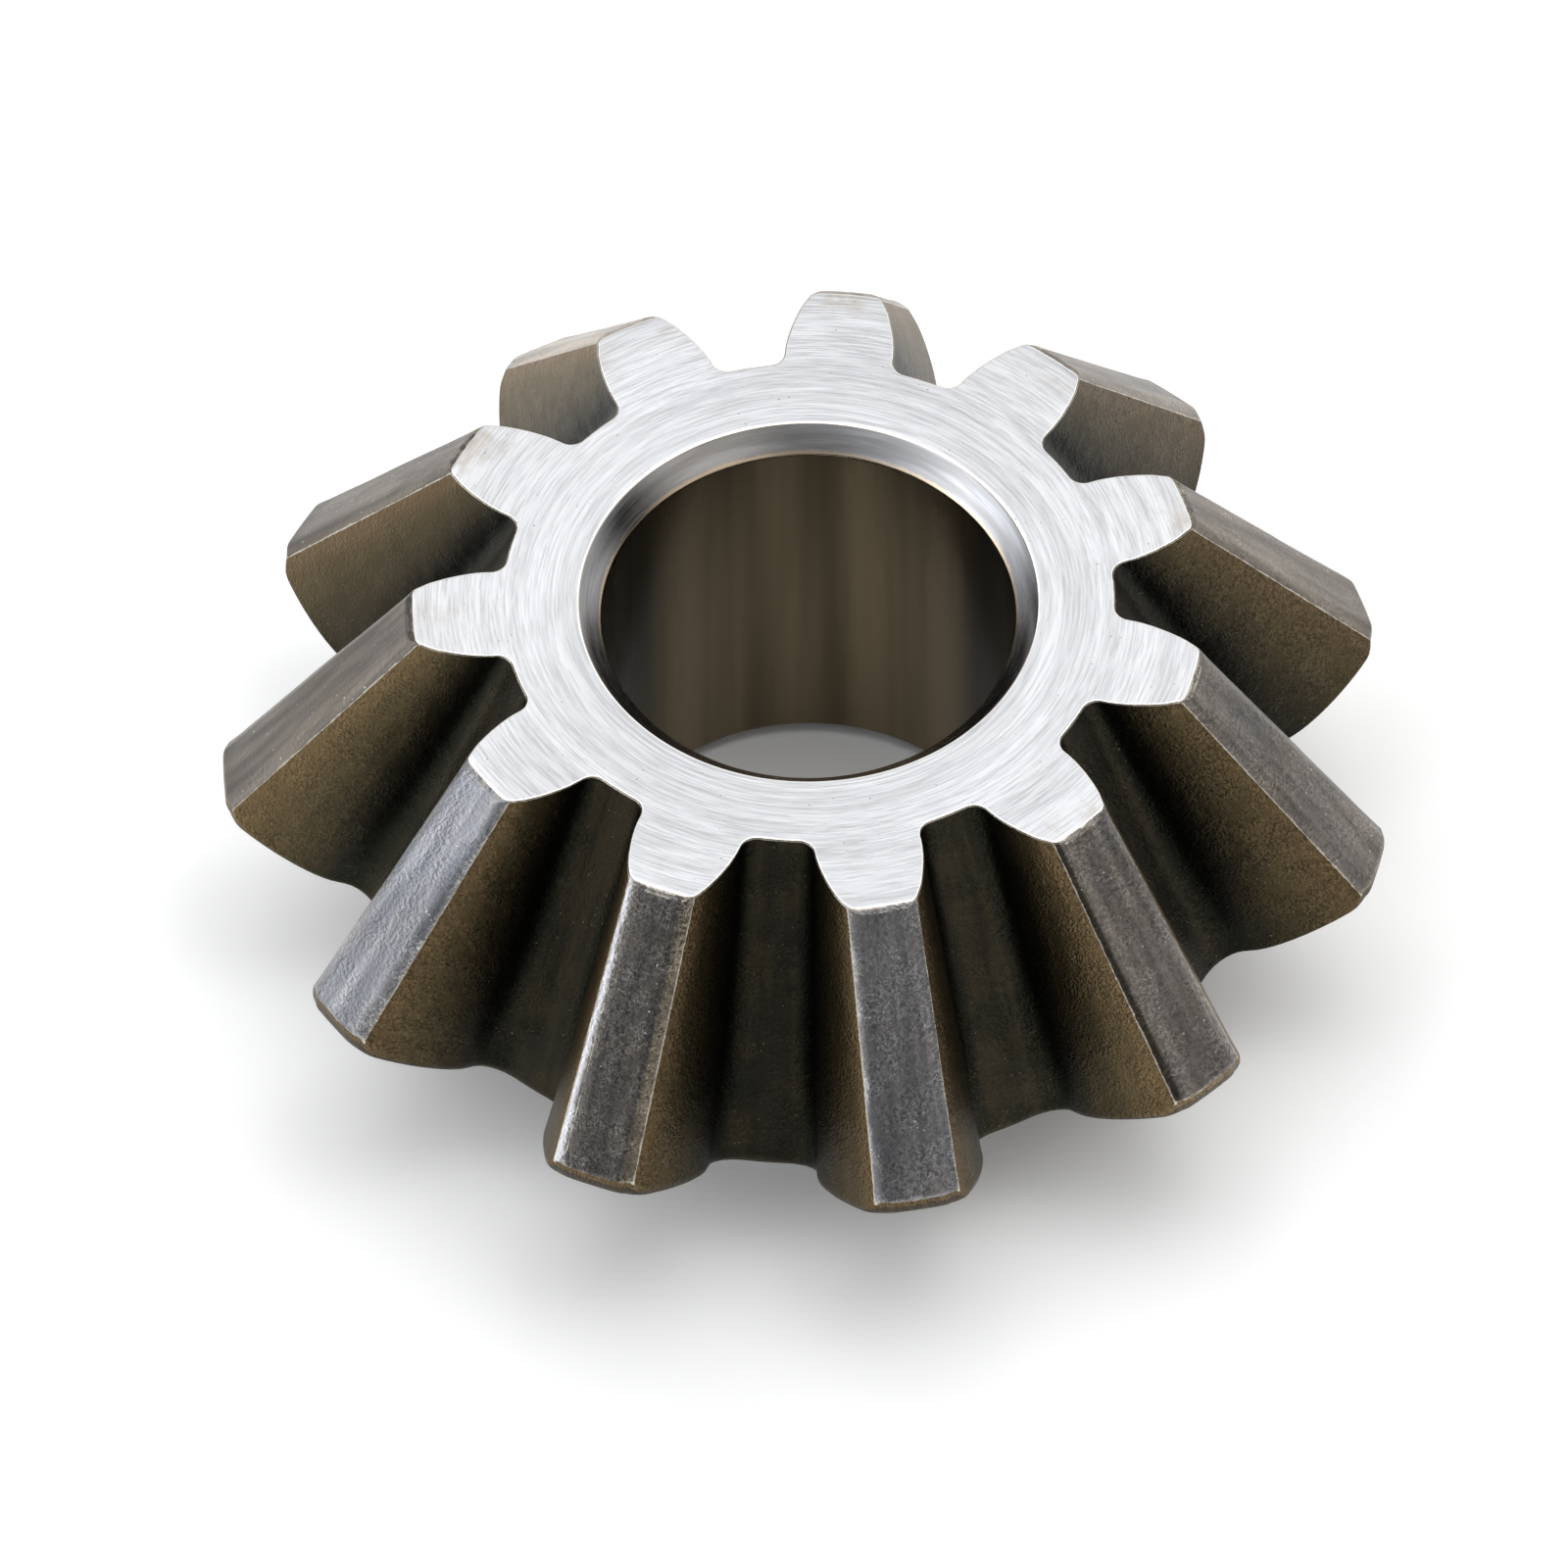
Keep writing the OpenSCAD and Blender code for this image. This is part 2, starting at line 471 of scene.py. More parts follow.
class GearSurface:
    """The whole gear as one closed grid: columns run round it, rows run out, down and back up.

    Row by row the surface goes from the bore's front mouth over the front face, down the teeth,
    across the heel, relief, seat and back land, and up the bore to where it began. The shares
    place the rows of a section between its start, 0, and its end, 1.
    """

    SEARCH_ABOVE, SEARCH_BELOW, HALVINGS = 8.0, 12.0, 46  # where a tooth's lines may meet a surface
    DRAW_IN = 0.06  # how far the columns on the back are drawn to the middles of the teeth

    MOUTH_BREAK, MOUTH_STRIP, RIM_STRIP = 0.08, 0.35, 0.16  # strips at the front face's two borders
    FACE_SHARES = (0.0, 0.25, 0.5, 0.7, 0.85, 0.94, 0.98, 1.0)

    END_STEPS = (0.0, 0.08, 0.25, 0.6)  # rows near each end of a tooth
    END_WORN = (0.09, 0.12, 0.2, 9.0)  # what is added there to the distance from the edge
    TIP_AWAY, FLANK_NEARER = 0.14, 0.05  # distances from the edge between the face and the teeth

    HEEL_BREAK_DOWN, HEEL_BREAK_IN = 1.6, 1.2  # the heel's broken edge, in widths of an edge
    HEEL_CORE, HEEL_CORNER_IN = 2.2, 0.24  # how deep the point lies that the heel's corners are drawn to
    HEEL_BLUNT = 0.5  # share of what a worn tooth lost in length by which its heel is drawn in
    HEEL_OFFSETS = (0.06, 0.14)  # rows just inside the heel's outline
    HEEL_AWAY, HEEL_EDGE_AWAY = 0.3, 0.1  # distances that give the heel its wear
    HEEL_SHARES = (0.03, 0.1, 0.25, 0.45, 0.7, 0.88, 1.0)

    SEAT_SEARCH = 4001  # radii that are tried for the circle between relief and seat
    RELIEF_SHARES = (0.0, 0.06, 0.3, 0.6, 0.94)
    SEAT_SHARES = (0.0, 0.02, 0.2, 0.4, 0.6, 0.8, 0.98)
    LAND_RIM, LAND_MOUTH = 0.15, 0.1  # strips at the back land's two borders
    BACK_CHAMFER_SHARES = (0.0, 0.08, 0.92)
    BORE_SHARES = (0.0, 0.004, 0.15, 0.35, 0.55, 0.75, 0.9, 0.996)
    FRONT_CHAMFER_SHARES = (0.0, 0.05, 0.35, 0.65, 0.95)
    BORE_EDGE_NEARER = 0.45  # the bore's upper edge wears wider than the others; its wider bright line is partly a painted highlight

    RUBBED_FROM, GROUND_FROM = 0.4, 0.5  # brightness from which a facet is rubbed tan, or ground
    SHOULDER_PASSES, GROUND_PASSES = 3, 9  # how often the softening runs there
    WAVE_SEEDS = (11, 23)  # of the broad and the fine part of the forged skin's unevenness
    WAVE_LEVEL, WAVE_BROAD, WAVE_FINE = 0.5, 0.35, 0.15  # its mean and its two parts
    WAVE_EASE = 3  # rows over which it begins at a tooth's ends
    WEAR_WIDTH = 0.16  # how wide an edge that runs round the gear is worn
    LAND_LINE, FACET_LINE = (0.2, 0.11), (0.64, 0.14)  # bareness and width along a tooth's two edges

    def __init__(self, teeth: ToothSizes, blank: BlankSizes, grid: GridSizes, life: tuple[ToothLife, ...]) -> None:
        """Lays out the columns.

        Args:
            teeth: sizes of the teeth.
            blank: sizes of the turned shape.
            grid: numbers of strips and widths of broken edges.
            life: wear of each tooth, counter-clockwise from the first.
        """
        self.teeth, self.blank, self.grid, self.life = teeth, blank, grid, life
        self.form = ToothForm(teeth, blank, grid)
        n = self.form.last
        half = np.concatenate([np.arange(n), np.arange(n, 0, -1)])
        self.place = np.tile(half, teeth.teeth)
        pitch = np.repeat(np.arange(teeth.teeth), 2 * n)
        falling = np.tile(np.arange(2 * n) < n, teeth.teeth)
        self.tooth = np.where(falling, pitch, (pitch + 1) % teeth.teeth)
        self.side = np.where(falling, int(Side.COUNTER), int(Side.CLOCKWISE))
        self.count = len(self.place)
        self.centre_angle = math.radians(teeth.first_tooth) + 2 * teeth.half_pitch * self.tooth
        self.even_angle = math.radians(teeth.first_tooth) + 2 * math.pi * np.arange(self.count) / self.count
        self.shift = np.zeros(self.count)
        profile = self.form.lines[1]
        steps = np.linalg.norm(np.diff(profile, axis=0), axis=-1)
        walk = np.concatenate([[0.0], np.cumsum(steps)])
        away = (walk - walk[self.form.facet_edge])[self.place] / grid.corner_reach
        self.corner = np.exp(-away ** 2)
        self.strips = Strips()
        self.rim_row, self.relief_row, self.teeth_rows = 0, 0, slice(0)

    # -- helpers

    def _facet_life(self) -> Array:
        """How brightly the facet beside each column is ground, by its tooth and side."""
        both = np.array([[x.clockwise, x.counter] for x in self.life])
        return both[self.tooth, (self.side + 1) // 2]

    def _place(self, depth: Array) -> Array:
        """XY points of every column at depths of shape (columns, rows), in the row's frame.

        Args:
            depth: depths below the apex, shape (columns, rows).

        Returns:
            Points (columns, rows, 2).
        """
        flat = self.form.at(self.place, depth)
        flat[..., 1] *= self.side[:, None]
        return turned(flat, self.centre_angle[:, None])

    def _lift(self, flat: Array, depth: Array | float) -> Array:
        """XY points and depths below the apex, as points in the row's frame."""
        z = self.blank.apex_to_front - np.broadcast_to(depth, flat.shape[:-1]) + self.blank.front_height
        return np.concatenate([flat, z[..., None]], axis=-1)

    def _circle(self, radius: float, own: Array | float = 0.0) -> Array:
        """XY points on a circle, evenly spaced, or turned from there by a share of `shift`."""
        angle = self.even_angle + self.shift * own
        return radius * np.stack([np.cos(angle), np.sin(angle)], axis=-1)

    def _fan(self, flat: Array) -> Array:
        """Angles from the even spacing to nearly the columns' own, drawn a little to the tooth's middle.

        Args:
            flat: XY points of the columns, shape (columns, 2).

        Returns:
            The angles, shape (columns,), in radians.
        """
        own = np.arctan2(flat[:, 1], flat[:, 0])
        rel = np.abs((own - self.centre_angle + math.pi) % (2 * math.pi) - math.pi)
        rel *= 1 - self.DRAW_IN * np.sin(math.pi * rel / self.teeth.half_pitch)
        aim = self.centre_angle + self.side * rel
        return (aim - self.even_angle + math.pi) % (2 * math.pi) - math.pi

    def _front_depth(self, radius: Array) -> Array:
        """Depth of the front: flat, and beyond the bevel's inner circle falling with its slope.

        Args:
            radius: distances from the axis.

        Returns:
            The depths below the apex.
        """
        b = self.blank
        start = self.teeth.tip_radius(b.apex_to_front + b.front_bevel_depth) - b.front_bevel_width
        return b.apex_to_front + np.maximum(radius - start, 0) * b.front_bevel_depth / b.front_bevel_width

    def _heel_depth(self, radius: Array) -> Array:
        """Depth of the heel: the back cone, and beyond the bevel's foot the line up to the tip cone.

        Args:
            radius: distances from the axis.

        Returns:
            The depths below the apex.
        """
        t, b = self.teeth, self.blank
        angle = math.radians(t.face_angle)
        r_top = t.tip[0] - b.heel_bevel_run * math.sin(angle)
        d_top = t.tip[1] - b.heel_bevel_run * math.cos(angle)
        r_foot = t.tip[0] - b.heel_bevel_fall * math.cos(t.pitch_angle)
        d_foot = t.tip[1] + b.heel_bevel_fall * math.sin(t.pitch_angle)
        bevel = d_foot + (radius - r_foot) * (d_top - d_foot) / (r_top - r_foot)
        return np.where(radius > r_foot, np.maximum(bevel, d_top), t.back_depth(radius))

    def _meet(self, surface: Callable[[Array], Array], first: float) -> Array:
        """Depth where every column's line meets a surface given as depth over radius.

        The depth is found by halving, because along the line the sign changes once.

        Args:
            surface: gives the depth of the surface at a radius.
            first: a depth near the answer.

        Returns:
            The depths below the apex, shape (columns,).
        """
        low = np.full((self.count, 1), first - self.SEARCH_ABOVE)
        high = np.full((self.count, 1), first + self.SEARCH_BELOW)
        for _ in range(self.HALVINGS):
            middle = (low + high) / 2
            radius = np.linalg.norm(self._place(middle), axis=-1)
            below = middle > surface(radius)
            low, high = np.where(below, low, middle), np.where(below, middle, high)
        return ((low + high) / 2)[:, 0]

    # -- the sections, in order

    def _front_face(self) -> None:
        """The turned small-end face: lines from the bore's mouth to curves inside the outline."""
        b = self.blank
        top = self._place(np.full((self.count, 1), b.apex_to_front))[:, 0]
        radius = np.linalg.norm(top, axis=-1, keepdims=True)
        start = self.teeth.tip_radius(b.apex_to_front + b.front_bevel_depth) - b.front_bevel_width
        outline = top * np.minimum(radius, start) / radius
        into = inward(outline)
        near = outline + into * self.RIM_STRIP
        mouth = b.bore_r + b.front_chamfer
        self.strips.add(self._lift(self._circle(mouth), b.apex_to_front), Zone.FACE, 0.0)
        edge = self._circle(mouth + self.MOUTH_BREAK)
        self.strips.add(self._lift(edge, b.apex_to_front), Zone.FACE, self.MOUTH_BREAK)
        inner = self._circle(mouth + self.MOUTH_STRIP)
        for share in self.FACE_SHARES:
            away = self.MOUTH_STRIP if share == 0 else self.RIM_STRIP + 1.5 * (1 - share)
            self.strips.add(self._lift(inner + (near - inner) * share, b.apex_to_front), Zone.FACE, away)
        rim = outline + into * self.grid.edge_break
        self.strips.add(self._lift(rim, b.apex_to_front), Zone.FACE, 0.0)
        self.rim_row = len(self.strips.points) - 1

    def _teeth(self) -> None:
        """Lands, facets, flanks, fillets and floors, from the front bevel to the heel bevel."""
        g = self.grid
        top = self._meet(self._front_depth, self.blank.apex_to_front) + g.edge_break
        blunt = np.array([x.blunt for x in self.life])[self.tooth]
        heel = self._meet(self._heel_depth, self.teeth.tip[1]) - self.HEEL_BREAK_DOWN * g.edge_break
        heel -= blunt + g.corner_round * self.corner
        length = (heel - top)[:, None]
        near = np.array(self.END_STEPS)
        reach = near[-1]
        even = np.linspace(0, 1, g.along + 1)[None, 1:-1]
        depth = np.concatenate([
            top[:, None] + near[None],
            top[:, None] + reach + (length - 2 * reach) * even,
            heel[:, None] - near[None, ::-1]], axis=1)
        worn = near + np.array(self.END_WORN)
        away = np.concatenate([worn, np.full(even.shape[1], Strips.FAR), worn[::-1]])
        flat = self._place(depth)
        points = self._lift(flat, depth)
        first = points[:, 0]
        last_face = self.strips.points[-1]
        self.strips.add((first + last_face) / 2, Zone.FACE, self.TIP_AWAY)
        self.teeth_rows = slice(len(self.strips.points), len(self.strips.points) + points.shape[1])
        for row in range(points.shape[1]):
            beside_flank = self.FLANK_NEARER if row == 0 else 0.0
            self.strips.add(points[:, row], Zone.FLANK, away[row] - beside_flank * (self.place > self.form.facet_edge))

    def _heel(self) -> None:
        """The big end: a broken edge, then the back cone down to the circle where the relief starts."""
        g, b = self.grid, self.blank
        sharp = self._meet(self._heel_depth, self.teeth.tip[1])[:, None]
        flat = self._place(sharp)[:, 0]
        foot = self.teeth.tip[0] - b.heel_bevel_fall * math.cos(self.teeth.pitch_angle)
        radius = np.linalg.norm(flat, axis=-1, keepdims=True)
        outline = flat * np.minimum(radius, foot) / radius
        blunt = np.array([x.blunt for x in self.life])[self.tooth] * np.interp(
            self.place, [self.form.corner_edge, self.form.fillet_start], [self.HEEL_BLUNT, 0.0])
        into = inward(outline)
        rim = (outline + into * self.HEEL_BREAK_IN * g.edge_break) * (1 - blunt[:, None] / foot)
        core = turned(np.array([foot - self.HEEL_CORE, 0.0]), self.centre_angle)
        rim += (core - rim) * (self.HEEL_CORNER_IN * g.corner_round * self.corner)[:, None]
        depth = self.teeth.back_depth(np.linalg.norm(rim, axis=-1))
        last = self.strips.points[-1]
        edge = self._lift(rim, depth)
        self.strips.add((last + edge) / 2, Zone.HEEL, self.HEEL_AWAY)
        self.strips.add(edge, Zone.HEEL, self.HEEL_EDGE_AWAY)
        for offset in self.HEEL_OFFSETS:
            flat = rim + into * offset
            depth = self.teeth.back_depth(np.linalg.norm(flat, axis=-1))
            self.strips.add(self._lift(flat, depth), Zone.HEEL, self.HEEL_AWAY)
        self.shift = self._fan(flat)
        inner = self._circle(b.relief_start_r + self.MOUTH_BREAK, 1.0)
        for share in self.HEEL_SHARES:
            step = flat + (inner - flat) * share
            self.strips.add(self._lift(step, self.teeth.back_depth(np.linalg.norm(step, axis=-1))), Zone.HEEL)

    def _turned_back(self) -> None:
        """Relief, seat, back land, both chamfers and the bore: a profile carried round the axis."""
        b, t = self.blank, self.teeth
        slope = math.tan(math.radians(b.relief_angle))
        start = t.back_depth(b.relief_start_r)
        radii = np.linspace(b.back_land_r, b.relief_start_r, self.SEAT_SEARCH)
        over = start + (b.relief_start_r - radii) * slope > b.seat_depth(radii)
        seat_r = float(radii[over].max()) if over.any() else b.relief_start_r

        def relief(r: float) -> tuple[float, float]:
            """A point of the relief cone."""
            return r, start + (b.relief_start_r - r) * slope

        def seat(r: float) -> tuple[float, float]:
            """A point of the spherical seat."""
            return r, float(b.seat_depth(np.array(r)))

        back = b.apex_to_front + b.length
        wall_low, wall_high = back - b.back_chamfer, b.apex_to_front + b.front_chamfer
        mouth = b.bore_r + b.back_chamfer
        run = b.relief_start_r - seat_r
        self.relief_row = len(self.strips.points)
        for s in self.RELIEF_SHARES:
            radius, depth = relief(b.relief_start_r - run * s)
            self.strips.add(self._lift(self._circle(radius, 1 - s), depth), Zone.HEEL)
        rim = b.back_land_r
        land_radii = (rim, rim - self.LAND_RIM, (rim + mouth) / 2, mouth + self.LAND_MOUTH)
        profile = [(seat(seat_r + (b.back_land_r - seat_r) * s), Zone.FACE)
                   for s in self.SEAT_SHARES]
        profile += [((r, back), Zone.FACE) for r in land_radii]
        profile += [((mouth - b.back_chamfer * s, back - b.back_chamfer * s), Zone.CHAMFER)
                    for s in self.BACK_CHAMFER_SHARES]
        profile += [((b.bore_r, wall_low + (wall_high - wall_low) * s), Zone.BORE)
                    for s in self.BORE_SHARES]
        profile += [((b.bore_r + b.front_chamfer * s, wall_high - b.front_chamfer * s), Zone.CHAMFER)
                    for s in self.FRONT_CHAMFER_SHARES]
        corner = np.array([b.bore_r, wall_high])
        for (radius, depth), zone in profile:
            away = self.BORE_EDGE_NEARER * math.hypot(radius - corner[0], depth - corner[1])
            self.strips.add(self._lift(self._circle(radius), depth), zone, away)

    def build(self) -> tuple[Array, Array, Array]:
        """Works out every point.

        Returns:
            Points (columns, rows, 3) in millimetres, the zone of each face (columns, rows), and
            the wear of the edges at each point (columns, rows).
        """
        self._front_face()
        self._teeth()
        self._heel()
        self._turned_back()
        points = np.stack(self.strips.points, axis=1)
        near = np.stack(self.strips.edge_near, axis=1)
        points = self._soften(points)
        points = self._wave(points)
        return points, self._zones(), self._wear(points, near)

    def _soften(self, points: Array) -> Array:
        """Rounds the edges: a point on one moves halfway to the middle of its two neighbours.

        Args:
            points: the surface, shape (columns, rows, 3).

        Returns:
            The softened points.
        """
        rows = [self.rim_row, self.rim_row + 2, self.teeth_rows.stop - 1, self.teeth_rows.stop + 1]
        soft = points.copy()
        for row in rows + [0, self.relief_row]:
            soft[:, row] = points[:, row] / 2 + (points[:, row - 1] + points[:, row + 1]) / 4
        creases = np.isin(self.place, [self.form.land_edge, self.form.facet_edge, self.form.corner_edge])
        beside = (np.roll(soft, 1, axis=0) + np.roll(soft, -1, axis=0)) / 4 + soft / 2
        part = slice(self.rim_row - 2, self.teeth_rows.stop + 4)
        soft[:, part] = np.where(creases[:, None, None], beside[:, part], soft[:, part])
        form = self.form
        shoulder = np.abs(self.place - form.land_edge) <= 1
        on_facet = (self.place >= form.land_edge - 2) & (self.place <= form.facet_edge + 1)
        ground = (self._facet_life() > self.GROUND_FROM) & on_facet
        for moved, times in ((shoulder, self.SHOULDER_PASSES), (ground, self.GROUND_PASSES)):
            for _ in range(times):
                beside = (np.roll(soft, 1, axis=0) + np.roll(soft, -1, axis=0)) / 4 + soft / 2
                soft[:, part] = np.where(moved[:, None, None], beside[:, part], soft[:, part])
        return soft

    def _wave(self, points: Array) -> Array:
        """Forged skin: teeth sink into themselves by a smooth noise, least at the ends.

        Args:
            points: the surface, shape (columns, rows, 3).

        Returns:
            The uneven points.
        """
        rows = self.teeth_rows
        skin = points[:, rows]
        along = np.gradient(skin, axis=1)
        across = np.roll(skin, -1, axis=0) - np.roll(skin, 1, axis=0)
        normal = np.cross(along, across)
        normal /= np.linalg.norm(normal, axis=-1, keepdims=True)
        broad = lattice_noise(skin, self.grid.wave_length, self.WAVE_SEEDS[0])
        fine = lattice_noise(skin, self.grid.wave_length / 3, self.WAVE_SEEDS[1])
        steps = np.arange(skin.shape[1])
        ease = np.clip(np.minimum(steps - 1, skin.shape[1] - 2 - steps) / self.WAVE_EASE, 0, 1)
        uneven = self.WAVE_LEVEL + self.WAVE_BROAD * broad + self.WAVE_FINE * fine
        depth = self.grid.forge_wave * uneven * ease
        points = points.copy()
        points[:, rows] = skin - normal * depth[..., None]
        return points

    def _zones(self) -> Array:
        """The zone of the face between each point and its next column and row.

        Returns:
            The material places, shape (columns, rows).
        """
        zone = np.tile(np.array([z.value for z in self.strips.zones]), (self.count, 1))
        neighbour = np.maximum(self.place, np.roll(self.place, -1))
        on_top = neighbour <= self.form.facet_edge
        part = slice(self.rim_row, self.teeth_rows.stop - 1)
        zone[:, part] = np.where(on_top[:, None], Zone.LAND.value, Zone.FLANK.value)
        return zone

    def _wear(self, points: Array, near: Array) -> Array:
        """Wear at every point: 1 on an edge, falling with the square of the distance from it.

        Args:
            points: the surface, shape (columns, rows, 3).
            near: distances to the nearest edge that runs round the gear, shape (columns, rows).

        Returns:
            The wear, shape (columns, rows).
        """
        middle = (self.teeth_rows.start + self.teeth_rows.stop) // 2
        line = points[:, middle]
        step = np.linalg.norm(line - np.roll(line, 1, axis=0), axis=-1)
        walk = np.cumsum(step)
        wear = np.exp(-(near / self.WEAR_WIDTH) ** 2)
        heel = slice(self.teeth_rows.stop - 4, self.teeth_rows.stop + 6)
        wear[:, heel] *= np.interp(self.place, [self.form.facet_edge, self.form.corner_edge], [0.85, 0.5])[:, None]
        strength = self._facet_life()
        for edge in (self.form.land_edge, self.form.facet_edge):
            marks = np.flatnonzero(self.place == edge)
            away = np.abs(walk[:, None] - walk[marks][None]).min(axis=1)
            share, width = self.LAND_LINE if edge == self.form.land_edge else self.FACET_LINE
            line_wear = np.exp(-(away / width) ** 2)[:, None] * np.clip(share + np.abs(strength) / 2, 0, 1)[:, None]
            part = slice(self.teeth_rows.start, self.teeth_rows.stop)
            wear[:, part] = np.maximum(wear[:, part], line_wear)
        return wear

    def root_share(self) -> Array:
        """How deep each column lies: 0 on the land, 1 on the root floor, by its place."""
        f = self.form
        return np.interp(self.place, [f.facet_edge, f.fillet_start, f.floor_start, f.last], [0.0, 0.6, 0.9, 1.0])

    def tooth_values(self, name: str) -> Array:
        """One value of each column's tooth, blended over the root floor between two teeth.

        Args:
            name: the field of ToothLife.

        Returns:
            The values, shape (columns,).
        """
        own = np.array([getattr(x, name) for x in self.life])
        mine, next_one = own[self.tooth], own[(self.tooth + self.side) % len(own)]
        share = np.interp(self.place, [self.form.fillet_start, self.form.last], [0.0, 0.5])
        return mine * (1 - share) + next_one * share

    def facet_polish(self) -> tuple[Array, Array]:
        """How the facet between land and flank is worn on each column.

        Returns:
            How brightly it is ground, below 0 in a groove, and how far it is rubbed to tan.
        """
        bright = self._facet_life()
        edge = self.form.facet_edge
        share = np.interp(self.place, [2.5, self.form.land_edge, edge, edge + 0.5], [0.0, 0.5, 1.0, 0.0])
        worn = (bright > self.GROUND_FROM) | (bright < 0)
        rubbed = (bright >= self.RUBBED_FROM) & (bright <= self.GROUND_FROM)
        inside = np.interp(self.place, [self.form.land_edge - 0.5, self.form.land_edge + 0.5], [0.0, 1.0])
        return np.where(worn, bright * share, 0.0), np.where(rubbed, inside, 0.0)


# ---------------------------------------------------------------- mesh


def closed_grid_mesh(name: str, points: Array, zones: Array) -> bpy.types.Mesh:
    """Makes a mesh of a grid that is closed both ways, with quads that face outwards.

    Args:
        name: the mesh's name.
        points: shape (columns, rows, 3), in metres.
        zones: material place of each face, shape (columns, rows).

    Returns:
        The mesh, smooth all over.
    """
    columns, rows = points.shape[:2]
    index = np.arange(columns * rows).reshape(columns, rows)
    right = np.roll(index, -1, axis=0)
    quads = np.stack([index, np.roll(index, -1, axis=1), np.roll(right, -1, axis=1), right], axis=-1).reshape(-1, 4)
    mesh = bpy.data.meshes.new(name)
    mesh.vertices.add(columns * rows)
    mesh.vertices.foreach_set("co", points.astype(np.float32).ravel())
    mesh.loops.add(quads.size)
    mesh.loops.foreach_set("vertex_index", quads.astype(np.int32).ravel())
    mesh.polygons.add(len(quads))
    mesh.polygons.foreach_set("loop_start", np.arange(0, quads.size, 4, dtype=np.int32))
    mesh.polygons.foreach_set("material_index", zones.astype(np.int32).ravel())
    mesh.update(calc_edges=True)
    mesh.shade_smooth()
    return mesh


def add_values(mesh: bpy.types.Mesh, name: str, values: Array) -> None:
    """Stores one number per point under a name that the materials read."""
    attribute = mesh.attributes.new(name, "FLOAT", "POINT")
    attribute.data.foreach_set("value", values.astype(np.float32).ravel())


# ---------------------------------------------------------------- shader graphs


class Graph:
    """A node tree that is being filled, with short calls for the nodes that the finishes share."""

    def __init__(self, tree: bpy.types.NodeTree) -> None:
        """Takes an empty tree."""
        self.tree = tree

    def add(self, kind: str, **settings: object) -> bpy.types.Node:
        """Adds a node and sets its options.

        Args:
            kind: the node's type.
            settings: its options by name.

        Returns:
            The node.
        """
        node = self.tree.nodes.new(kind)
        for key, value in settings.items():
            setattr(node, key, value)
        return node

    def put(self, value: Input, socket: Socket) -> None:
        """Joins a socket, or writes a plain value into the input.

        Args:
            value: a socket to join, or a number, colour or vector.
            socket: the input that takes it.
        """
        if isinstance(value, Socket):
            self.tree.links.new(value, socket)
        elif isinstance(value, tuple) and len(value) == 3 and len(getattr(socket, "default_value", ())) == 4:
            socket.default_value = (*value, 1.0)
        else:
            socket.default_value = value

    def math(self, operation: str, first: Input, second: Input = 0.0, clamp: bool = False) -> Socket:
        """One arithmetic step.

        Args:
            operation: the node's operation.
            first: its first input.
            second: its second input.
            clamp: whether the result is kept between 0 and 1.

        Returns:
            The result.
        """
        node = self.add("ShaderNodeMath", operation=operation, use_clamp=clamp)
        self.put(first, node.inputs[0])
        self.put(second, node.inputs[1])
        return node.outputs[0]

    def vector(self, operation: str, first: Input, second: Input) -> Socket:
        """One step of vector arithmetic.

        Args:
            operation: the node's operation.
            first: its first input.
            second: its second input.

        Returns:
            The result: a number for a length or a dot product, or else a vector.
        """
        node = self.add("ShaderNodeVectorMath", operation=operation)
        self.put(first, node.inputs[0])
        self.put(second, node.inputs[1])
        return node.outputs["Value" if operation in ("DOT_PRODUCT", "LENGTH") else "Vector"]

    def spread(self, value: Input, low: float, high: float, to_low: float = 0.0,
               to_high: float = 1.0) -> Socket:
        """Maps low..high to to_low..to_high with soft ends.

        Args:
            value: what is mapped.
            low: value that gives to_low.
            high: value that gives to_high.
            to_low: result at and before low.
            to_high: result at and past high.

        Returns:
            The mapped value.
        """
        node = self.add("ShaderNodeMapRange", interpolation_type="SMOOTHSTEP", clamp=True)
        for place, number in enumerate((value, low, high, to_low, to_high)):
            self.put(number, node.inputs[place])
        return node.outputs[0]

    def scaled(self, vector: Input, factor: Input) -> Socket:
        """A vector or colour times a number.

        Args:
            vector: the vector or colour.
            factor: the number.

        Returns:
            The product.
        """
        node = self.add("ShaderNodeVectorMath", operation="SCALE")
        self.put(vector, node.inputs[0])
        self.put(factor, node.inputs["Scale"])
        return node.outputs["Vector"]

    def mix(self, share: Input, first: Input, second: Input) -> Socket:
        """Mixes two colours.

        Args:
            share: how much of the second colour there is.
            first: the first colour.
            second: the second colour.

        Returns:
            The mixed colour.
        """
        node = self.add("ShaderNodeMix", data_type="RGBA")
        self.put(share, node.inputs[0])
        self.put(first, node.inputs[6])
        self.put(second, node.inputs[7])
        return node.outputs[2]

    def noise(self, where: Socket, scale: float, detail: float = 3.0, roughness: float = 0.55,
              distortion: float = 0.0) -> Socket:
        """Fractal noise between 0 and 1, about 0.5 in the middle.

        Args:
            where: the place.
            scale: waves per unit of the place.
            detail: how many finer layers it has.
            roughness: how strong the finer layers are.
            distortion: how far the place is stirred first.

        Returns:
            The noise.
        """
        node = self.add("ShaderNodeTexNoise")
        self.put(where, node.inputs["Vector"])
        for key, value in (("Scale", scale), ("Detail", detail), ("Roughness", roughness), ("Distortion", distortion)):
            self.put(value, node.inputs[key])
        return node.outputs[0]

    def cells(self, where: Socket, scale: float) -> Socket:
        """Distance to the nearest of scattered points.

        Args:
            where: the place.
            scale: points per unit of the place.

        Returns:
            The distance, in cells.
        """
        node = self.add("ShaderNodeTexVoronoi")
        self.put(where, node.inputs["Vector"])
        self.put(scale, node.inputs["Scale"])
        return node.outputs["Distance"]

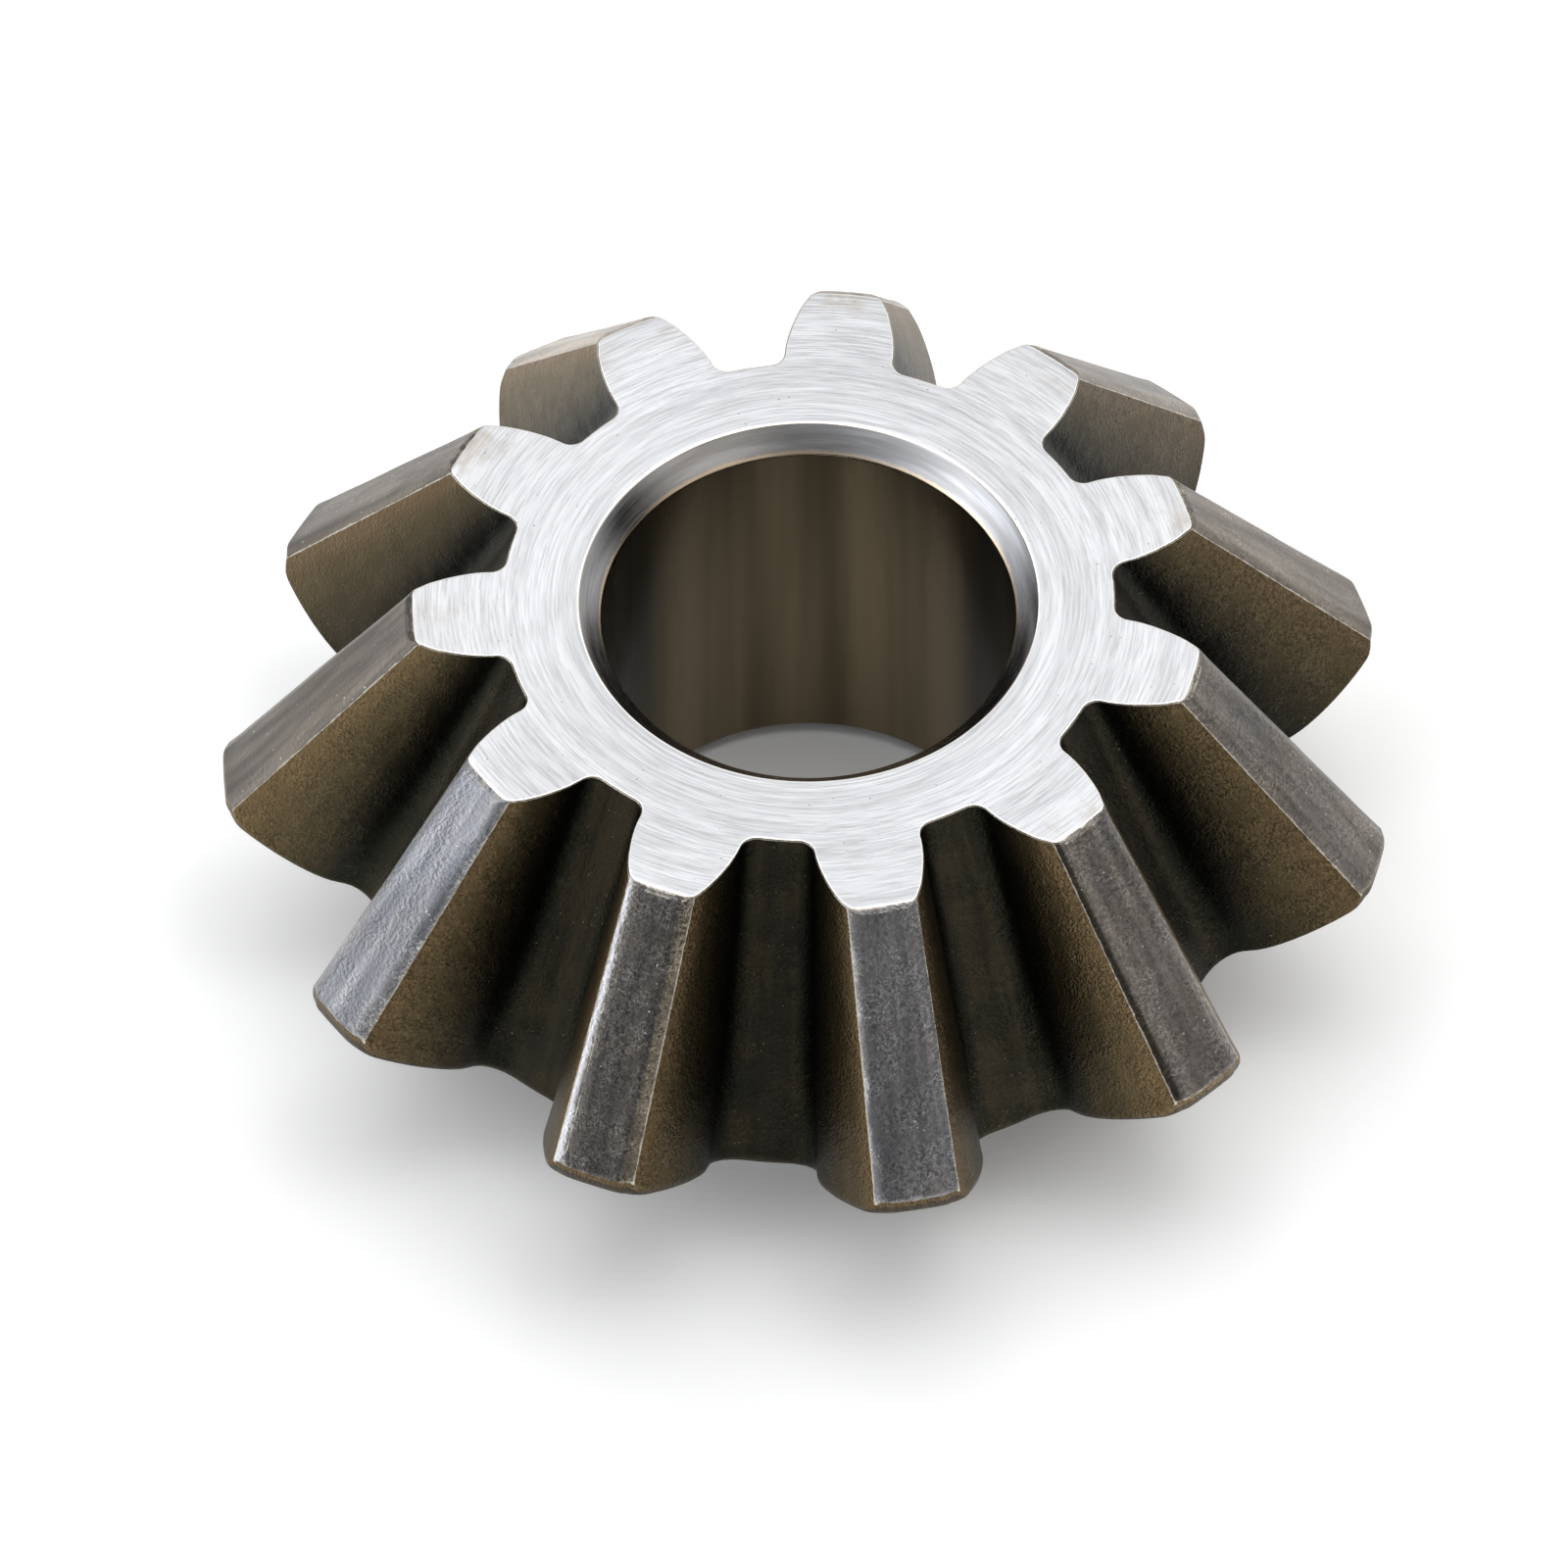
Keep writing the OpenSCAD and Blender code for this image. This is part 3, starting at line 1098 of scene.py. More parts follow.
    def attribute(self, name: str) -> Socket:
        """A value stored on the mesh's points."""
        return self.add("ShaderNodeAttribute", attribute_type="GEOMETRY", attribute_name=name).outputs["Fac"]

    def place(self) -> Socket:
        """Object coordinates, in millimetres."""
        return self.scaled(self.add("ShaderNodeTexCoord").outputs["Object"], 1 / MM)

    def across(self, place: Socket) -> Socket:
        """Distance from the gear's axis."""
        return self.vector("LENGTH", self.vector("MULTIPLY", place, (1.0, 1.0, 0.0)), (0.0, 0.0, 0.0))

    def group(self, tree: bpy.types.NodeTree, **values: Input) -> dict[str, Socket]:
        """Places a node group with its own values; underscores in a name stand for spaces.

        Args:
            tree: the group.
            values: what its inputs get.

        Returns:
            Its outputs by name.
        """
        node = self.add("ShaderNodeGroup", node_tree=tree)
        for key, value in values.items():
            self.put(value, node.inputs[key.replace("_", " ")])
        return {s.name: s for s in node.outputs}

    def bump(self, height: Socket, distance: float, strength: float = 1.0) -> Socket:
        """A normal from a height between 0 and 1 that stands for a distance in millimetres.

        Args:
            height: the height.
            distance: how deep a height of 1 is.
            strength: how much of the bump shows.

        Returns:
            The normal.
        """
        node = self.add("ShaderNodeBump")
        self.put(strength, node.inputs["Strength"])
        self.put(distance * MM, node.inputs["Distance"])
        self.put(height, node.inputs["Height"])
        return node.outputs["Normal"]


class SharedEffects:
    """Node groups that more than one finish uses. Each is built once."""

    def __init__(self) -> None:
        """Builds all the groups."""
        self.wear = self._edge_wear()
        self.lay = self._turning_lay()
        self.drawn = self._drawn_lines()
        self.grain = self._forged_grain()

    @staticmethod
    def _group(name: str, numbers: dict[str, float],
               outputs: tuple[str, ...]) -> tuple[Graph, dict[str, Socket], bpy.types.Node]:
        """An empty group with named sockets.

        Args:
            name: the group's name.
            numbers: names and defaults of the number inputs that follow the vector Place.
            outputs: names of the value outputs.

        Returns:
            The graph, its input sockets by name, and the output node.
        """
        tree = bpy.data.node_groups.new(name, "ShaderNodeTree")
        tree.interface.new_socket("Place", in_out="INPUT", socket_type="NodeSocketVector")
        for key, default in numbers.items():
            tree.interface.new_socket(key, in_out="INPUT", socket_type="NodeSocketFloat").default_value = default
        for key in outputs:
            tree.interface.new_socket(key, in_out="OUTPUT", socket_type="NodeSocketFloat")
        graph = Graph(tree)
        source = graph.add("NodeGroupInput")
        sink = graph.add("NodeGroupOutput")
        return graph, {s.name: s for s in source.outputs if s.name}, sink

    def _edge_wear(self) -> bpy.types.NodeTree:
        """Bare, burnished metal along an edge, ragged by noise; its bright line is partly a painted highlight on the
        broken edges.

        Returns:
            The group.
        """
        g, i, sink = self._group("edge_wear", {"Edge": 0.0, "Ragged": 0.5}, ("Mask",))
        coarse = g.noise(i["Place"], 1.3, 2.0)
        fine = g.noise(i["Place"], 6.0, 3.0)
        roughened = g.math("MULTIPLY", g.math("SUBTRACT", g.math("ADD", coarse, fine), 1.0), i["Ragged"])
        g.put(g.spread(g.math("ADD", i["Edge"], roughened), 0.52, 0.8), sink.inputs["Mask"])
        return g.tree

    def _turning_lay(self) -> bpy.types.NodeTree:
        """Marks that a turning tool leaves: fine rings about the axis, each of uneven depth.

        The noise is read at (cosine and sine of the angle, radius and height), stretched so that
        a mark is long round the axis and narrow across it, and no seam shows.

        Returns:
            The group.
        """
        g, i, sink = self._group("turning_lay", {"Lines per mm": 5.0, "Length": 5.0}, ("Height", "Streak"))
        split = g.add("ShaderNodeSeparateXYZ")
        g.put(i["Place"], split.inputs[0])
        flat = g.add("ShaderNodeCombineXYZ")
        g.put(split.outputs[0], flat.inputs[0])
        g.put(split.outputs[1], flat.inputs[1])
        radius = g.vector("LENGTH", flat.outputs[0], (0.0, 0.0, 0.0))
        around = g.add("ShaderNodeVectorMath", operation="NORMALIZE")
        g.put(flat.outputs[0], around.inputs[0])
        ring = g.scaled(around.outputs["Vector"], i["Length"])
        step = g.math("MULTIPLY", g.math("ADD", radius, split.outputs[2]), i["Lines per mm"])
        lift = g.add("ShaderNodeCombineXYZ")
        g.put(step, lift.inputs[2])
        where = g.vector("ADD", ring, lift.outputs[0])
        g.put(g.noise(where, 1.0, 3.0, 0.6), sink.inputs["Height"])
        g.put(g.noise(g.vector("MULTIPLY", where, (0.45, 0.45, 0.16)), 1.0, 2.0, 0.5), sink.inputs["Streak"])
        return g.tree

    def _drawn_lines(self) -> bpy.types.NodeTree:
        """Streaks along the teeth: noise over the direction from the pitch apex, nearly the same all along.

        Returns:
            The group.
        """
        g, i, sink = self._group("drawn_lines", {"Count": 60.0}, ("Streak",))
        apex = BlankSizes().apex_to_front + BlankSizes().front_height
        away = g.vector("SUBTRACT", i["Place"], (0.0, 0.0, apex))
        toward = g.add("ShaderNodeVectorMath", operation="NORMALIZE")
        g.put(away, toward.inputs[0])
        ray = g.scaled(toward.outputs["Vector"], i["Count"])
        length = g.add("ShaderNodeCombineXYZ")
        g.put(g.math("MULTIPLY", g.vector("LENGTH", away, (0.0, 0.0, 0.0)), 0.06), length.inputs[2])
        g.put(g.noise(g.vector("ADD", ray, length.outputs[0]), 1.0, 3.0, 0.55), sink.inputs["Streak"])
        return g.tree

    def _forged_grain(self) -> bpy.types.NodeTree:
        """The grain of a forged and blasted skin: bumps and pits, bright specks that are painted glints, and broad
        mottles.

        Relief is the height's fall over a short step; put into a colour, it gives each bump a painted lit side and a
        painted shaded side.

        Returns:
            The group.
        """
        g, i, sink = self._group("forged_grain", {"Scale": 2.2}, ("Height", "Relief", "Glint", "Mottle"))
        where = g.scaled(i["Place"], i["Scale"])
        bands = g.spread(g.noise(where, 0.22, 2.0), 0.36, 0.62, 0.35, 1.0)

        def height(spot: Socket) -> Socket:
            """Bumps of two sizes, stronger in some places than in others."""
            return g.math("MULTIPLY", g.noise(spot, 1.9, 2.0, 0.6, 0.4), bands)

        here = height(where)
        g.put(here, sink.inputs["Height"])
        fall = g.math("SUBTRACT", here, height(g.vector("ADD", where, (0.1, -0.13, 0.1))))
        g.put(g.spread(fall, -0.2, 0.2), sink.inputs["Relief"])
        dots = g.cells(where, 0.9)
        chosen = g.noise(where, 0.4, 1.0)
        # painted glints: bright specks scattered over the grain
        g.put(g.math("MULTIPLY", g.spread(dots, 0.17, 0.08), g.spread(chosen, 0.55, 0.63)), sink.inputs["Glint"])
        g.put(g.noise(where, 0.12, 3.0, 0.5), sink.inputs["Mottle"])
        return g.tree


class Finish:
    """Common start and end of every finish: an empty material and its Principled shader."""

    name = "finish"

    def material(self, shared: SharedEffects) -> bpy.types.Material:
        """Makes the material.

        Args:
            shared: the node groups.

        Returns:
            The material.
        """
        material = bpy.data.materials.new(self.name)
        material.use_nodes = True
        material.node_tree.nodes.clear()
        graph = Graph(material.node_tree)
        shader = graph.add("ShaderNodeBsdfPrincipled")
        shader.inputs["Metallic"].default_value = 1.0
        out = graph.add("ShaderNodeOutputMaterial")
        graph.put(shader.outputs[0], out.inputs["Surface"])
        self.dress(graph, shader, shared)
        return material

    def dress(self, graph: Graph, shader: bpy.types.Node, shared: SharedEffects) -> None:
        """Fills the shader's sockets.

        Args:
            graph: the material's nodes.
            shader: its Principled shader.
            shared: the node groups.
        """
        raise NotImplementedError


@dataclass(frozen=True)
class TurnedSteel(Finish):
    """Bright turned steel with fine rings, a few dark pits and burnished edges that partly carry a painted highlight.
    """

    name: str = "turned_steel"
    light: Colour = (0.68, 0.69, 0.71)
    dark: Colour = (0.48, 0.485, 0.5)
    stain: Colour = (0.42, 0.36, 0.29)
    pitted: Colour = (0.16, 0.15, 0.15)
    burnished: Colour = (0.9, 0.89, 0.87)
    roughness: float = 0.36
    lay_gloss: float = 0.55
    ring_depth: float = 0.025

    def dress(self, graph: Graph, shader: bpy.types.Node, shared: SharedEffects) -> None:
        """Rings in colour, roughness and height; stains near the tooth tips.

        Args:
            graph: the material's nodes.
            shader: its Principled shader.
            shared: the node groups.
        """
        g = graph
        place = g.place()
        long_lay = g.group(shared.lay, Place=place, Lines_per_mm=5.0, Length=3.0)
        lay = g.group(shared.lay, Place=place, Lines_per_mm=7.0, Length=9.0)
        wear = g.group(shared.wear, Place=place, Edge=g.attribute("edge_wear"), Ragged=0.35)["Mask"]
        radius = g.across(place)
        near_mouth = g.spread(radius, 23.0, 17.0, 0.25, 0.8)
        long_part = g.math("MULTIPLY", long_lay["Height"], near_mouth)
        short_part = g.math("MULTIPLY", lay["Height"], g.math("SUBTRACT", 1.0, near_mouth))
        rings = g.math("ADD", long_part, short_part)
        colour = g.mix(g.spread(rings, 0.32, 0.62), self.dark, self.light)
        colour = g.scaled(colour, g.spread(long_lay["Streak"], 0.35, 0.62, 0.92, 1.05))
        pits = g.spread(g.cells(place, 1.5), 0.14, 0.06)
        some = g.spread(g.noise(place, 0.35, 2.0), 0.5, 0.62)
        pit = g.math("MULTIPLY", pits, some)
        outer = g.spread(radius, 24.0, 28.5)
        blotch = g.spread(g.noise(place, 0.16, 4.0, 0.65), 0.54, 0.72)
        stain = g.math("MULTIPLY", g.math("MULTIPLY", outer, blotch), 0.7)
        colour = g.mix(stain, colour, self.stain)
        colour = g.mix(g.math("MULTIPLY", pit, 0.6), colour, self.pitted)
        # burnished edges, partly a painted highlight along the rims
        colour = g.mix(wear, colour, self.burnished)
        g.put(colour, shader.inputs["Base Color"])
        rough = g.spread(lay["Streak"], 0.35, 0.65, self.roughness - 0.06, self.roughness + 0.06)
        rough = g.math("SUBTRACT", rough, g.math("MULTIPLY", wear, 0.14))
        g.put(rough, shader.inputs["Roughness"])
        shader.inputs["Anisotropic"].default_value = self.lay_gloss
        height = g.math("SUBTRACT", rings, g.math("MULTIPLY", pit, 0.8))
        g.put(g.bump(height, self.ring_depth, 0.8), shader.inputs["Normal"])


@dataclass(frozen=True)
class PolishedChamfer(Finish):
    """The smooth turned cone at a mouth of the bore."""

    name: str = "polished_chamfer"
    light: Colour = (0.56, 0.56, 0.575)
    dark: Colour = (0.42, 0.415, 0.41)
    # tan burnished line at the bore's mouth, partly a painted highlight
    burnished: Colour = (0.8, 0.66, 0.5)
    roughness: float = 0.21
    lay_gloss: float = 0.4
    ring_depth: float = 0.008

    def dress(self, graph: Graph, shader: bpy.types.Node, shared: SharedEffects) -> None:
        """Fine rings over a near-mirror.

        Args:
            graph: the material's nodes.
            shader: its Principled shader.
            shared: the node groups.
        """
        g = graph
        place = g.place()
        lay = g.group(shared.lay, Place=place, Lines_per_mm=7.0, Length=5.0)
        wear = g.group(shared.wear, Place=place, Edge=g.attribute("edge_wear"), Ragged=0.3)["Mask"]
        colour = g.mix(g.spread(lay["Streak"], 0.35, 0.65), self.dark, self.light)
        g.put(g.mix(wear, colour, self.burnished), shader.inputs["Base Color"])
        rough = g.spread(lay["Height"], 0.3, 0.7, self.roughness - 0.05, self.roughness + 0.07)
        g.put(rough, shader.inputs["Roughness"])
        shader.inputs["Anisotropic"].default_value = self.lay_gloss
        g.put(g.bump(lay["Height"], self.ring_depth, 0.6), shader.inputs["Normal"])


@dataclass(frozen=True)
class HonedBore(Finish):
    """The running bore: dark, glossy steel with soft streaks along the axis, and two sides darkened as a painted dark
    reflection.
    """

    name: str = "honed_bore"
    light: Colour = (0.235, 0.185, 0.112)
    dark: Colour = (0.115, 0.094, 0.055)
    painted_dark_reflection: Colour = (0.024, 0.021, 0.013)
    dark_reflection_toward: Colour = (0.0737, -0.0139, 0.0)  # direction of the two sides with the painted dark reflection, over the bore's radius
    roughness: float = 0.3
    ring_depth: float = 0.01

    def dress(self, graph: Graph, shader: bpy.types.Node, shared: SharedEffects) -> None:
        """Streaks along the axis in colour and gloss, two sides darkened as a painted dark reflection, faint rings in
        the height.

        Args:
            graph: the material's nodes.
            shader: its Principled shader.
            shared: the node groups.
        """
        g = graph
        place = g.place()
        drawn = g.vector("MULTIPLY", place, (1.0, 1.0, 0.05))
        streak = g.noise(drawn, 0.17, 3.0, 0.5)
        across = g.math("ABSOLUTE", g.vector("DOT_PRODUCT", place, self.dark_reflection_toward))
        lay = g.group(shared.lay, Place=place, Lines_per_mm=3.0, Length=7.0)
        colour = g.mix(g.spread(streak, 0.34, 0.68), self.dark, self.light)
        # painted dark reflection: the bore's two sides along the direction above are darkened in colour
        colour = g.mix(g.spread(across, 0.72, 0.98), colour, self.painted_dark_reflection)
        g.put(colour, shader.inputs["Base Color"])
        g.put(g.spread(streak, 0.3, 0.7, self.roughness + 0.05, self.roughness - 0.05), shader.inputs["Roughness"])
        g.put(g.bump(lay["Height"], self.ring_depth, 0.5), shader.inputs["Normal"])


@dataclass(frozen=True)
class ForgedFlank(Finish):
    """Olive-brown forged flanks, with painted shade that darkens them into the root."""

    name: str = "forged_flank"
    warm: Colour = (0.116, 0.081, 0.042)
    olive: Colour = (0.062, 0.048, 0.025)
    # painted shade: near-black for the root fillets, where the tooth spaces lie in shade
    deep: Colour = (0.014, 0.014, 0.01)
    floor: Colour = (0.023, 0.022, 0.016)
    streak: Colour = (0.037, 0.031, 0.02)
    bare: Colour = (0.62, 0.58, 0.5)
    # painted glint colour of the specks
    glint_paint: Colour = (0.36, 0.31, 0.22)
    roughness: float = 0.38
    grain_scale: float = 2.3
    grain_depth: float = 0.09
    streaks: float = 48.0

    def dress(self, graph: Graph, shader: bpy.types.Node, shared: SharedEffects) -> None:
        """Brown at the top, olive, black at the foot as painted shade and a streaked grey floor, with grain and bare
        edges.

        Args:
            graph: the material's nodes.
            shader: its Principled shader.
            shared: the node groups.
        """
        g = graph
        place = g.place()
        grain = g.group(shared.grain, Place=place, Scale=self.grain_scale)
        drawn = g.group(shared.drawn, Place=place, Count=self.streaks)["Streak"]
        wear = g.group(shared.wear, Place=place, Edge=g.attribute("edge_wear"), Ragged=0.4)["Mask"]
        tone = g.math("ADD", g.math("MULTIPLY", grain["Mottle"], 0.45), g.math("MULTIPLY", drawn, 0.55))
        root = g.math("ADD", g.attribute("root"), g.math("MULTIPLY", g.math("SUBTRACT", tone, 0.5), 0.35))
        colour = g.mix(g.spread(root, 0.0, 0.34), self.warm, self.olive)
        # painted shade: the colour goes near-black down the flank into the root
        colour = g.mix(g.spread(root, 0.22, 0.62), colour, self.deep)
        floor = g.mix(g.spread(tone, 0.42, 0.58), self.floor, self.streak)
        depth = g.spread(root, 0.7, 0.95)
        colour = g.mix(depth, colour, floor)
        # skin: each tooth's flank lightness, partly painted light
        colour = g.scaled(colour, g.attribute("skin"))
        # painted light and shade: the grain's relief lightens one side of each bump and darkens the other
        shade = g.spread(grain["Relief"], 0.0, 1.0, 0.55, 1.6)
        shade = g.math("ADD", shade, g.math("MULTIPLY", g.math("SUBTRACT", 1.0, shade), g.math("MULTIPLY", depth, 0.6)))
        colour = g.scaled(colour, shade)
        # painted glints: the bright specks mixed into the colour
        colour = g.mix(g.math("MULTIPLY", grain["Glint"], 0.35), colour, self.glint_paint)
        colour = g.mix(wear, colour, self.bare)
        g.put(colour, shader.inputs["Base Color"])
        rough = g.spread(grain["Height"], 0.2, 1.1, self.roughness + 0.08, self.roughness - 0.06)
        g.put(g.math("SUBTRACT", rough, g.math("MULTIPLY", wear, 0.1)), shader.inputs["Roughness"])
        g.put(g.bump(grain["Height"], self.grain_depth), shader.inputs["Normal"])


@dataclass(frozen=True)
class ToothLand(Finish):
    """Grey top lands with coarse grain that carries painted light and shade, ground facets and bright broken edges."""

    name: str = "tooth_land"
    warm: Colour = (0.18, 0.158, 0.131)
    cool: Colour = (0.15, 0.157, 0.175)
    groove: Colour = (0.06, 0.054, 0.043)
    rubbed: Colour = (0.24, 0.206, 0.158)
    polish: Colour = (0.76, 0.76, 0.78)
    bare: Colour = (0.46, 0.425, 0.37)
    # painted glint colour of the specks
    glint_paint: Colour = (0.7, 0.69, 0.67)
    roughness: float = 0.34
    grain_scale: float = 1.75
    grain_depth: float = 0.15
    streaks: float = 55.0

    def dress(self, graph: Graph, shader: bpy.types.Node, shared: SharedEffects) -> None:
        """Two greys by tooth and mottle, streaked lengthwise, grain, and facets ground or grooved.

        Args:
            graph: the material's nodes.
            shader: its Principled shader.
            shared: the node groups.
        """
        g = graph
        place = g.place()
        grain = g.group(shared.grain, Place=place, Scale=self.grain_scale)
        drawn = g.group(shared.drawn, Place=place, Count=self.streaks)["Streak"]
        facet = g.attribute("facet")
        patchy = g.math("MULTIPLY", g.attribute("edge_wear"), g.spread(g.noise(place, 0.8, 2.0), 0.35, 0.6, 0.6, 1.1))
        wear = g.group(shared.wear, Place=place, Edge=patchy, Ragged=0.5)["Mask"]
        change = g.math("ADD", g.math("MULTIPLY", grain["Mottle"], 1.0), g.math("MULTIPLY", drawn, 0.9))
        warm = g.math("ADD", g.attribute("warmth"), g.math("MULTIPLY", g.math("SUBTRACT", change, 0.95), 0.6), True)
        # tone: each tooth's land lightness, partly painted light
        colour = g.scaled(g.mix(warm, self.cool, self.warm), g.attribute("tone"))
        colour = g.scaled(colour, g.spread(drawn, 0.3, 0.7, 0.72, 1.28))
        rub = g.math("MULTIPLY", g.attribute("rubbed"), g.spread(grain["Mottle"], 0.35, 0.6, 0.55, 0.9))
        colour = g.mix(rub, colour, self.rubbed)
        uneven = g.math("MULTIPLY", g.math("SUBTRACT", grain["Height"], 0.5), 0.45)
        ground = g.spread(g.math("ADD", facet, uneven), 0.4, 0.8)
        colour = g.mix(ground, colour, self.polish)
        colour = g.mix(g.spread(facet, -0.3, -0.4), colour, self.groove)
        rough_land = g.attribute("grain")
        strong = g.math("MULTIPLY", rough_land, g.math("SUBTRACT", 1.0, g.math("MULTIPLY", ground, 0.8)))
        # painted light and shade: the grain's relief lightens one side of each bump and darkens the other
        shade = g.math("SUBTRACT", g.spread(grain["Relief"], 0.0, 1.0, 0.5, 1.65), 1.0)
        colour = g.scaled(colour, g.math("ADD", 1.0, g.math("MULTIPLY", shade, strong)))
        # painted glints: the bright specks mixed into the colour
        colour = g.mix(g.math("MULTIPLY", grain["Glint"], 0.7), colour, self.glint_paint)
        colour = g.mix(wear, colour, self.bare)
        g.put(colour, shader.inputs["Base Color"])
        rough = g.spread(grain["Height"], 0.2, 1.1, self.roughness + 0.08, self.roughness - 0.06)
        g.put(g.math("SUBTRACT", rough, g.math("MULTIPLY", wear, 0.08)), shader.inputs["Roughness"])
        g.put(g.bump(g.math("MULTIPLY", grain["Height"], rough_land), self.grain_depth), shader.inputs["Normal"])


@dataclass(frozen=True)
class HeelSkin(ForgedFlank):
    """The big end and the relief: the same forged skin without the painted shade of the roots."""

    name: str = "heel_skin"
    warm: Colour = (0.06, 0.05, 0.036)
    olive: Colour = (0.052, 0.044, 0.032)
    # the painted root shade, here close to the skin's own colour
    deep: Colour = (0.048, 0.041, 0.03)
    floor: Colour = (0.05, 0.042, 0.031)
    bare: Colour = (0.3, 0.25, 0.18)


# ---------------------------------------------------------------- the gear


@dataclass
class PlanetGear:
    """The one-piece gear: builds its mesh and gives each zone its finish."""

    teeth: ToothSizes = ToothSizes()
    blank: BlankSizes = BlankSizes()
    grid: GridSizes = GridSizes()
    life: tuple[ToothLife, ...] = (
        ToothLife(0.35, 0.64, 0.25, 1.35, 0.35, 0.65), ToothLife(0.35, -0.5, 0.2, 1.25, 0.7, 0.6, 1.45),
        ToothLife(0.3, 0.36, 0.0, 1.15, 0.75, 0.5), ToothLife(0.3, 0.35, 0.0, 1.1, 0.95, 0.4, 0.9),
        ToothLife(0.3, 0.3, 0.0, 1.1, 1.0, 0.4, 0.9), ToothLife(0.3, 0.3, 0.0, 1.9, 0.8, 0.4, 1.5),
        ToothLife(0.3, 0.3, 0.0, 2.4, 0.85, 0.4, 1.5), ToothLife(0.35, 0.3, 0.0, 0.9, 1.0, 0.4, 1.15),
        ToothLife(0.35, 0.35, 0.1, 1.05, 0.85, 0.25, 1.5), ToothLife(0.62, 0.35, 0.35, 1.75, 0.2, 0.7, 1.12),
        ToothLife(0.45, 1.0, 0.3, 0.75, 0.7, 1.0))

    def build(self) -> bpy.types.Object:
        """Makes the object in the row's frame.

        Returns:
            The gear, at the origin with its place in its mesh.
        """
        surface = GearSurface(self.teeth, self.blank, self.grid, self.life)
        points, zones, wear = surface.build()
        mesh = closed_grid_mesh("planet_gear_steel", points * MM, zones)
        rows = points.shape[1]
        add_values(mesh, "edge_wear", wear)
        add_values(mesh, "root", np.repeat(surface.root_share()[:, None], rows, axis=1))
        for key, values in zip(("facet", "rubbed"), surface.facet_polish()):
            add_values(mesh, key, np.repeat(values[:, None], rows, axis=1))
        for key in ("tone", "warmth", "grain", "skin"):
            add_values(mesh, key, np.repeat(surface.tooth_values(key)[:, None], rows, axis=1))
        piece = bpy.data.objects.new("planet_gear_steel", mesh)
        bpy.context.scene.collection.objects.link(piece)
        LOG.info("gear surface: %d points, %d faces", len(mesh.vertices), len(mesh.polygons))
        return piece

    def dress(self, piece: bpy.types.Object, shared: SharedEffects) -> None:
        """Gives every zone its material, in the order of the zones.

        Args:
            piece: the gear.
            shared: the node groups.
        """
        finishes = {Zone.FACE: TurnedSteel(), Zone.CHAMFER: PolishedChamfer(), Zone.BORE: HonedBore(),
                    Zone.LAND: ToothLand(), Zone.FLANK: ForgedFlank(), Zone.HEEL: HeelSkin()}
        for zone in Zone:
            piece.data.materials.append(finishes[zone].material(shared))
            LOG.info("finish: %s", finishes[zone].name)


# ---------------------------------------------------------------- studio


@dataclass(frozen=True)
class SoftLight:
    """A soft patch of the studio's dome, by azimuth from the camera's right and elevation."""

    azimuth: float
    elevation: float
    reach: float
    strength: float
    colour: Colour = (1.0, 1.0, 1.0)


@dataclass(frozen=True)
class View:
    """Where the photograph was taken from. Azimuth and elevation are those of the camera."""

    azimuth: float = -100.69
    elevation: float = 51.27
    roll: float = 0.15
    width: float = 113.55
    centre_right: float = -1.763
    centre_up: float = -13.172
    distance: float = 600.0


